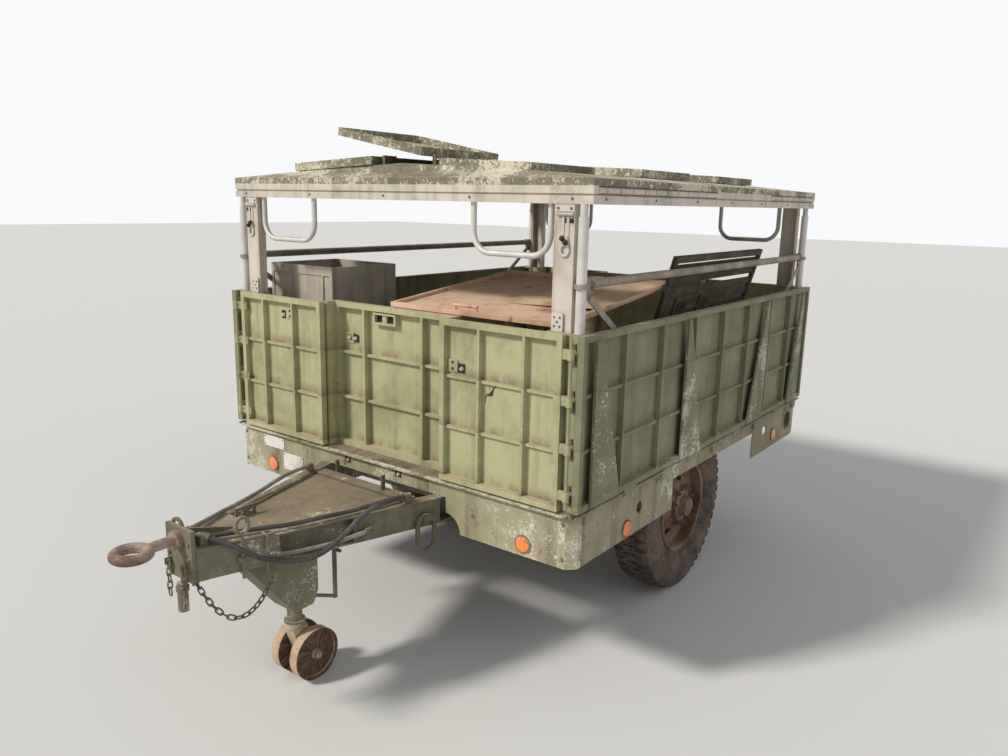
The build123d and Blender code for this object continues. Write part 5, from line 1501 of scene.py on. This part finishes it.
@dataclass
class BlankPlates:
    """Two blank plates riveted on the front skirt, over the plain ones."""

    thick: float = 0.0015
    face: float = 0.018           # front face of the body to the face of the plates under them
    margin: float = 0.010         # edge of a plate to its rivets
    rivet: tuple[float, float] = (0.0035, 0.002)     # radius and height
    # right, left, low and high edges
    edges: tuple[tuple[float, ...], ...] = ((-0.956, -0.777, 0.849, 0.915), (-0.786, -0.615, 0.741, 0.837))

    def build(self, shop: Paintshop) -> bpy.types.Object:
        """Makes both plates, with a rivet in each corner.

        Args:
            shop: gives the finishes.

        Returns:
            The joined plates.
        """
        x = BODY_FRONT - self.face
        pieces, rivets = [], []
        for right, left, low, high in self.edges:
            model = RoundedPlate(left - right, high - low, self.thick).model()
            place = turned_to((1.0, 0.0, 0.0), (x, (right + left) / 2.0, (low + high) / 2.0))
            pieces.append(shop.stamp(model, [place], "blank_plate", LABEL))
            rivets += [turned_to((1.0, 0.0, 0.0), (x + self.thick * 0.7, y, z))
                       for y in (right + self.margin, left - self.margin)
                       for z in (low + self.margin, high - self.margin)]
        pieces.append(shop.stamp(Fastener(*self.rivet, sides=10).model(), rivets, "plate_rivets", STUD))
        joined = Bench.join(pieces, "blank_plates")
        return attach(joined, "trailer")


@dataclass
class PostFittings:
    """The head plate, slot, clamp and ring at the top of each roof post."""

    face: float = 0.065           # front face of the body to the face of a roof post
    middle: float = 1.055         # centre plane to the hanging ring
    post: float = 1.048           # centre plane to the middle of a post
    top: float = 2.266            # upper end of a post
    head: Point = (0.096, 0.029, 0.003)              # width, height and thickness of the head plate
    head_drop: float = 0.0165                        # top of the post to the middle of the plate
    slot: Point = (0.058, 0.018, 0.0015, 0.0085)     # as the head plate, and its corners
    slot_drop: float = 0.068
    slot_out: float = 0.011                          # outwards from the ring
    bolt: Point = (0.005, 0.004)                     # radius and height
    bolt_drop: float = 0.018
    bolt_apart: float = 0.032                        # middle of the post to each bolt
    bolt_lift: float = 0.002                         # off the post's face
    clamp: Point = (0.0095, 0.011, 0.005)            # radius, height and stud of a clamp's screw
    clamp_drops: Point = (0.140, 0.156)              # of the inner and the outer screw
    clamp_apart: float = 0.008                       # ring to each screw
    clamp_lift: float = 0.012
    ring_sizes: Point = (0.0205, 0.0052, 1.16)       # radius, bar and stretch
    ring_drop: float = 0.188
    ring_lift: float = 0.005

    def places(self, across: float, drop: float, lift: float = 0.0) -> list[Matrix]:
        """The same spot on each of the four posts.

        Args:
            across: its distance from the centre plane.
            drop: its distance below the top of the post.
            lift: its height off the post's face.

        Returns:
            One matrix for each post, facing away from the trailer.
        """
        return [turned_to((end, 0.0, 0.0), (body_face(end, self.face - lift), side * across, self.top - drop))
                for end in (1, -1) for side in (1, -1)]

    def build(self, shop: Paintshop) -> bpy.types.Object:
        """Makes the fittings of all four posts.

        Args:
            shop: gives the finishes.

        Returns:
            The joined fittings.
        """
        bolts, clamps = [], []
        for way, drop in zip((-1.0, 1.0), self.clamp_drops):
            bolts += self.places(self.post + way * self.bolt_apart, self.bolt_drop, self.bolt_lift)
            clamps += self.places(self.middle + way * self.clamp_apart, drop, self.clamp_lift)
        # the slots are near-black plates of painted shade for the openings in the posts
        slots = self.places(self.middle + self.slot_out, self.slot_drop)
        parts = ((RoundedPlate(*self.head).model(), self.places(self.post, self.head_drop), TUBE),
                 (RoundedPlate(*self.slot).model(), slots, HOLE),
                 (self.ring(), self.places(self.middle, self.ring_drop, self.ring_lift), TUBE),
                 (Fastener(*self.bolt).model(), bolts, STUD),
                 (Fastener(*self.clamp, sides=8).model(), clamps, GRATE))
        pieces = [shop.stamp(model, places, "post_part", finish) for model, places, finish in parts]
        joined = Bench.join(pieces, "post_fittings")
        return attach(joined, "roof")

    def ring(self) -> bpy.types.Object:
        """Makes the round ring that hangs from the clamp, a little taller than wide.

        Returns:
            The ring, to be copied and removed.
        """
        Bench.clear()
        radius, bar, stretch = self.ring_sizes
        bpy.ops.mesh.primitive_torus_add(major_segments=28, minor_segments=10, major_radius=radius,
                                         minor_radius=bar)
        ring = bpy.context.object
        bpy.ops.object.mode_set(mode="EDIT")
        bpy.ops.mesh.select_all(action="SELECT")
        bpy.ops.transform.resize(value=(stretch, 1.0, 1.0))
        return Bench.smooth(Bench.settle(ring), 60.0)


@dataclass
class LatchParts:
    """Dark plates and holes of the latches on one body, each with its knobs; plates and holes take the near-black
    painted shade of a hole.
    """

    name: str
    body: str
    end: int                      # 1 at the front, -1 at the rear
    depth: float                  # outer face of the doors to the sheet that carries the parts
    plates: tuple[tuple[float, ...], ...]   # across, height, width and height of each dark plate
    knobs: tuple[tuple[float, float], ...]  # across and height
    holes: tuple[tuple[float, float], ...] = ()
    thick: float = 0.003          # of a plate
    knob: tuple[float, float] = (0.008, 0.010)       # radius and height
    hole: tuple[float, float] = (0.0058, 0.0068)

    def spot(self, across: float, height: float, lift: float = 0.0) -> Matrix:
        """A place on the sheet.

        Args:
            across: its distance from the centre plane, to the left.
            height: its height off the ground.
            lift: its height off the sheet.

        Returns:
            Its matrix, facing away from the trailer.
        """
        return turned_to((self.end, 0.0, 0.0), (body_face(self.end, self.depth - lift), across, height))

    def build(self, shop: Paintshop) -> bpy.types.Object:
        """Makes the parts.

        Args:
            shop: gives the finishes.

        Returns:
            The joined parts.
        """
        pieces = []
        for across, height, wide, tall in self.plates:
            model = RoundedPlate(wide, tall, self.thick).model()
            pieces.append(shop.stamp(model, [self.spot(across, height)], "latch_plate", HOLE))
        if self.holes:
            holes = [self.spot(*place) for place in self.holes]
            pieces.append(shop.stamp(Fastener(*self.hole, sides=16).model(), holes, "latch_holes", HOLE))
        knobs = [self.spot(*place, self.thick * 0.7) for place in self.knobs]
        pieces.append(shop.stamp(Fastener(*self.knob, sides=12).model(), knobs, "latch_knobs", TAN))
        joined = Bench.join(pieces, self.name)
        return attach(joined, self.body)


@dataclass
class DoorTear:
    """The torn place in the front left door, a bent crack that widens to a small hole."""

    x: float = BODY_FRONT - DOOR_SHEET
    y: float = 0.711              # where the hole is
    z: float = 1.417
    thick: float = 0.0008
    # the crack from its upper end to its lower one: across, up and its width there
    stations: tuple[Point, ...] = (
        (0.036, 0.044, 0.002), (0.014, 0.030, 0.007), (0.007, 0.014, 0.009), (0.000, 0.000, 0.021),
        (-0.012, -0.008, 0.014), (-0.026, -0.008, 0.007), (-0.034, -0.022, 0.005), (-0.036, -0.050, 0.002))
    flap: Point = (0.028, 0.009, 0.0010)             # length, width and thickness of the bent strip
    flap_place: Point = (0.0005, -0.022, 0.029)      # from the hole to the strip
    flap_bend: Point = (0.0, 0.011, 0.005)           # how far its lower end is bent away
    flap_end: float = 0.15                           # width of that end, as a share
    flap_side: float = 0.004                         # middle of the strip to where the end narrows to

    def edge(self, at: int, side: float) -> Vector:
        """Finds a corner of the crack in the plane that it is drawn on.

        Args:
            at: number of the station.
            side: +1 or -1, the edge of the crack.

        Returns:
            The corner, with up as minus X and across as Y.
        """
        across, up, width = self.stations[at]
        before = self.stations[max(at - 1, 0)]
        after = self.stations[min(at + 1, len(self.stations) - 1)]
        along = Vector((before[1] - after[1], after[0] - before[0], 0.0)).normalized()
        return Vector((-up, across, 0.0)) + Vector((-along.y, along.x, 0.0)) * (side * width / 2.0)

    def crack(self) -> bpy.types.Object:
        """Draws the crack as a strip, two corners at each station, and gives it a thickness.

        Each corner waits a metre above the grid, so that none falls on one that has not moved.

        Returns:
            The strip, to be copied and removed.
        """
        Bench.clear()
        steps = len(self.stations) - 1
        bpy.ops.mesh.primitive_grid_add(x_subdivisions=steps, y_subdivisions=1, size=1.0)
        strip = bpy.context.object
        bpy.ops.object.mode_set(mode="EDIT")
        for at in range(steps + 1):
            for side in (-1.0, 1.0):
                spot = Vector((at / steps - 0.5, side / 2.0, 0.0))
                Bench.pick(strip, lambda point, _, spot=spot: (point - spot).length < 1e-4, faces=False)
                bpy.ops.transform.translate(value=self.edge(at, side) - spot + Vector((0.0, 0.0, 1.0)))
        bpy.ops.mesh.select_all(action="SELECT")
        bpy.ops.transform.translate(value=(0.0, 0.0, -1.0))
        Bench.extrude(self.thick)
        bpy.ops.mesh.select_all(action="SELECT")
        bpy.ops.mesh.normals_make_consistent(inside=False)
        bpy.ops.object.mode_set(mode="OBJECT")
        return strip

    def bent_strip(self) -> bpy.types.Object:
        """Makes the strip of metal that is bent out beside the hole, narrow at its lower end.

        Returns:
            The strip, to be copied and removed.
        """
        Bench.clear()
        bpy.ops.mesh.primitive_cube_add(size=1.0, location=(0.0, 0.0, 0.0), scale=self.flap)
        flap = Bench.settle(bpy.context.object)
        bpy.ops.object.mode_set(mode="EDIT")
        Bench.pick(flap, lambda point, _: point.x > 0.0, faces=False)
        bpy.ops.transform.resize(value=(1.0, self.flap_end, 1.0), center_override=(0.0, self.flap_side, 0.0))
        bpy.ops.transform.translate(value=self.flap_bend)
        bpy.ops.object.mode_set(mode="OBJECT")
        return flap

    def build(self, shop: Paintshop) -> bpy.types.Object:
        """Makes the dark crack, a strip of painted shade for the opening, and the strip of bent metal beside it.

        Args:
            shop: gives the finishes.

        Returns:
            The joined pieces.
        """
        hole = Vector((self.x, self.y, self.z))
        front = (1.0, 0.0, 0.0)
        tear = shop.stamp(self.crack(), [turned_to(front, hole)], "door_tear", HOLE)
        bent = [turned_to(front, hole + Vector(self.flap_place))]
        flap = shop.stamp(self.bent_strip(), bent, "door_tear_flap", OLIVE)
        joined = Bench.join([tear, flap], "door_tear")
        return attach(joined, "door_front_left")


def door_name(end: int, side: int) -> str:
    """Name of the corner door at an end, 1 for the front, and on a side, 1 for the left."""
    return f"door_{'front' if end > 0 else 'rear'}_{'left' if side > 0 else 'right'}"


LOW_LATCH = (0.482, 1.518)        # across and height of the middle between a latch's two holes
HIGH_LATCH = (0.695, 1.645)
LATCH_PLATE = (0.052, -0.008)     # outwards and up from there to the dark plate
LATCH_PLATE_SIZE = (0.040, 0.044)
LATCH_KNOB = (0.054, -0.010)      # the same to the knob
LATCH_HOLE = 0.015                # and to each hole, up and down


def door_latch(end: int, side: int) -> LatchParts:
    """The dark parts of one door's latch, which is low on the front left and rear right doors.

    Args:
        end: 1 at the front, -1 at the rear.
        side: 1 on the left, -1 on the right.

    Returns:
        The parts, ready to be built.
    """
    y, z = LOW_LATCH if end == side else HIGH_LATCH
    plate = (side * (y + LATCH_PLATE[0]), z + LATCH_PLATE[1], *LATCH_PLATE_SIZE)
    knob = (side * (y + LATCH_KNOB[0]), z + LATCH_KNOB[1])
    holes = ((side * y, z - LATCH_HOLE), (side * y, z + LATCH_HOLE))
    name = door_name(end, side)
    return LatchParts(f"{name}_latch", name, end, DOOR_SHEET, (plate,), (knob,), holes)


def centre_latch(end: int) -> LatchParts:
    """The dark parts of the latch and the keeper on the centre panel of an end, 1 for the front."""
    # the plates take the near-black painted shade of a hole
    plates = ((-0.095, 1.670, 0.044, 0.038), (-0.011, 1.670, 0.056, 0.038), (-0.285, 1.545, 0.036, 0.040))
    knobs = ((-0.330, 1.545), (-0.285, 1.543))
    name = f"centre_latch_{'front' if end > 0 else 'rear'}"
    return LatchParts(name, "trailer", end, CENTRE_SHEET, plates, knobs)


def sill_stops() -> LatchParts:
    """The two dark stops under the lip of the front skirt, each with a stud."""
    # the stops take the near-black painted shade of a hole
    plates = ((-0.244, 0.908, 0.040, 0.030), (0.128, 0.908, 0.040, 0.030))
    return LatchParts("sill_stops", "trailer", 1, SKIRT_FACE, plates, ((-0.238, 0.908), (0.134, 0.908)))


# Camera, light and floor


@dataclass
class Studio:
    """The camera at the photograph's angle, soft light and a pale floor."""

    eye: Point = (3.609, 2.906, 2.268)
    yaw: float = 36.896           # degrees from -X towards -Y
    pitch: float = 12.224         # degrees down
    roll: float = 1.206
    lens: float = 29.01           # millimetres, on a sensor 36 mm wide
    floor_size: float = 120.0
    floor_colour: Colour = (0.66, 0.65, 0.63)
    sky_colour: Colour = (0.93, 0.96, 1.0)
    sky_strength: float = 0.43
    background: Colour = (0.94, 0.95, 0.96)

    def camera(self) -> None:
        """Places the camera."""
        yaw, pitch, roll = radians(self.yaw), radians(self.pitch), radians(self.roll)
        ahead = Vector((-cos(yaw) * cos(pitch), -sin(yaw) * cos(pitch), -sin(pitch)))
        level = ahead.cross(Vector((0.0, 0.0, 1.0))).normalized()
        raised = level.cross(ahead)
        right = cos(roll) * level + sin(roll) * raised
        up = -sin(roll) * level + cos(roll) * raised
        data = bpy.data.cameras.new("photo_camera")
        data.lens = self.lens
        data.sensor_width = 36.0
        data.clip_end = 200.0
        camera = bpy.data.objects.new("photo_camera", data)
        turn = Matrix((right, up, -ahead)).transposed().to_4x4()
        camera.matrix_world = Matrix.Translation(Vector(self.eye)) @ turn
        bpy.context.scene.collection.objects.link(camera)
        bpy.context.scene.camera = camera

    def lamp(self, name: str, place: Point, spread: float, strength: float, colour: Colour) -> None:
        """Adds a broad even lamp that shines from a place towards the origin.

        Args:
            name: the lamp's name.
            place: the direction that it shines from.
            spread: how wide it looks, in degrees, which softens its shadows.
            strength: its strength.
            colour: its tint.
        """
        data = bpy.data.lights.new(name, "SUN")
        data.angle = radians(spread)
        data.energy = strength
        data.color = colour
        lamp = bpy.data.objects.new(name, data)
        turn = (-Vector(place)).to_track_quat("-Z", "Y")
        lamp.matrix_world = Matrix.Translation(Vector(place)) @ turn.to_matrix().to_4x4()
        bpy.context.scene.collection.objects.link(lamp)

    def floor(self) -> None:
        """Lays the plain pale floor."""
        Bench.clear()
        bpy.ops.mesh.primitive_plane_add(size=self.floor_size)
        floor = Bench.name(bpy.context.object, "studio_floor")
        floor.data.materials.append(Surface("studio_floor_paint").finish(self.floor_colour, 0.9, 0.0, 0.0, 0.0))

    def world(self) -> None:
        """Lights the scene from all round, with a white background for the camera and in reflections."""
        world = bpy.data.worlds.new("studio_world")
        bpy.context.scene.world = world
        graph = Graph(world)
        rays = graph.node("ShaderNodeLightPath", {}, {})
        seen = graph.maths("MAXIMUM", Shade(graph, rays.outputs["Is Camera Ray"]),
                           Shade(graph, rays.outputs["Is Glossy Ray"]))
        soft = graph.node("ShaderNodeBackground", {}, {0: Surface.full(self.sky_colour), 1: self.sky_strength})
        white = graph.node("ShaderNodeBackground", {}, {0: Surface.full(self.background)})
        mixed = graph.node("ShaderNodeMixShader", {}, {0: seen, 1: soft.outputs[0], 2: white.outputs[0]})
        graph.node("ShaderNodeOutputWorld", {}, {0: mixed.outputs[0]})

    def build(self) -> None:
        """Sets up camera, lamps, floor and world."""
        self.camera()
        self.lamp("key_lamp", (6.5, -3.8, 6.4), 8.0, 2.75, (1.0, 0.965, 0.90))
        self.lamp("side_lamp", (1.0, 8.0, 6.0), 40.0, 0.28, (0.94, 0.97, 1.0))
        self.floor()
        self.world()
        bpy.context.scene.view_settings.view_transform = "Standard"


def main() -> None:
    """Loads the frame, dresses it and reports each piece."""
    logging.basicConfig(level=logging.INFO, format="%(name)s: %(message)s")
    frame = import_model()
    Studio().build()
    shop = Paintshop()
    shop.coat_nodes(frame["nodes"])
    for hose in HOSES:
        log.info("laid %s", hose.build(shop).name)
    for side in ("left", "right"):
        log.info("made %s", Tyre(side).build(shop).name)
        log.info("made %s", WheelNuts(side).build(shop).name)
    log.info("made %s", ChainLinks().build(shop, frame["nodes"]["safety_chains"]).name)
    log.info("made %s", Reflectors().build(shop, frame["nodes"]["reflectors"]).name)
    pieces = [RoofFastenings(), CasterNuts(), ChassisFastenings(), BlankPlates(), PostFittings(), DoorTear(),
              sill_stops()]
    for end in (1, -1):
        for side in (1, -1):
            pieces += [DoorFastenings(door_name(end, side), end, side), door_latch(end, side)]
        pieces.append(centre_latch(end))
    for piece in pieces:
        log.info("made %s", piece.build(shop).name)


if __name__ == "__main__":
    main()
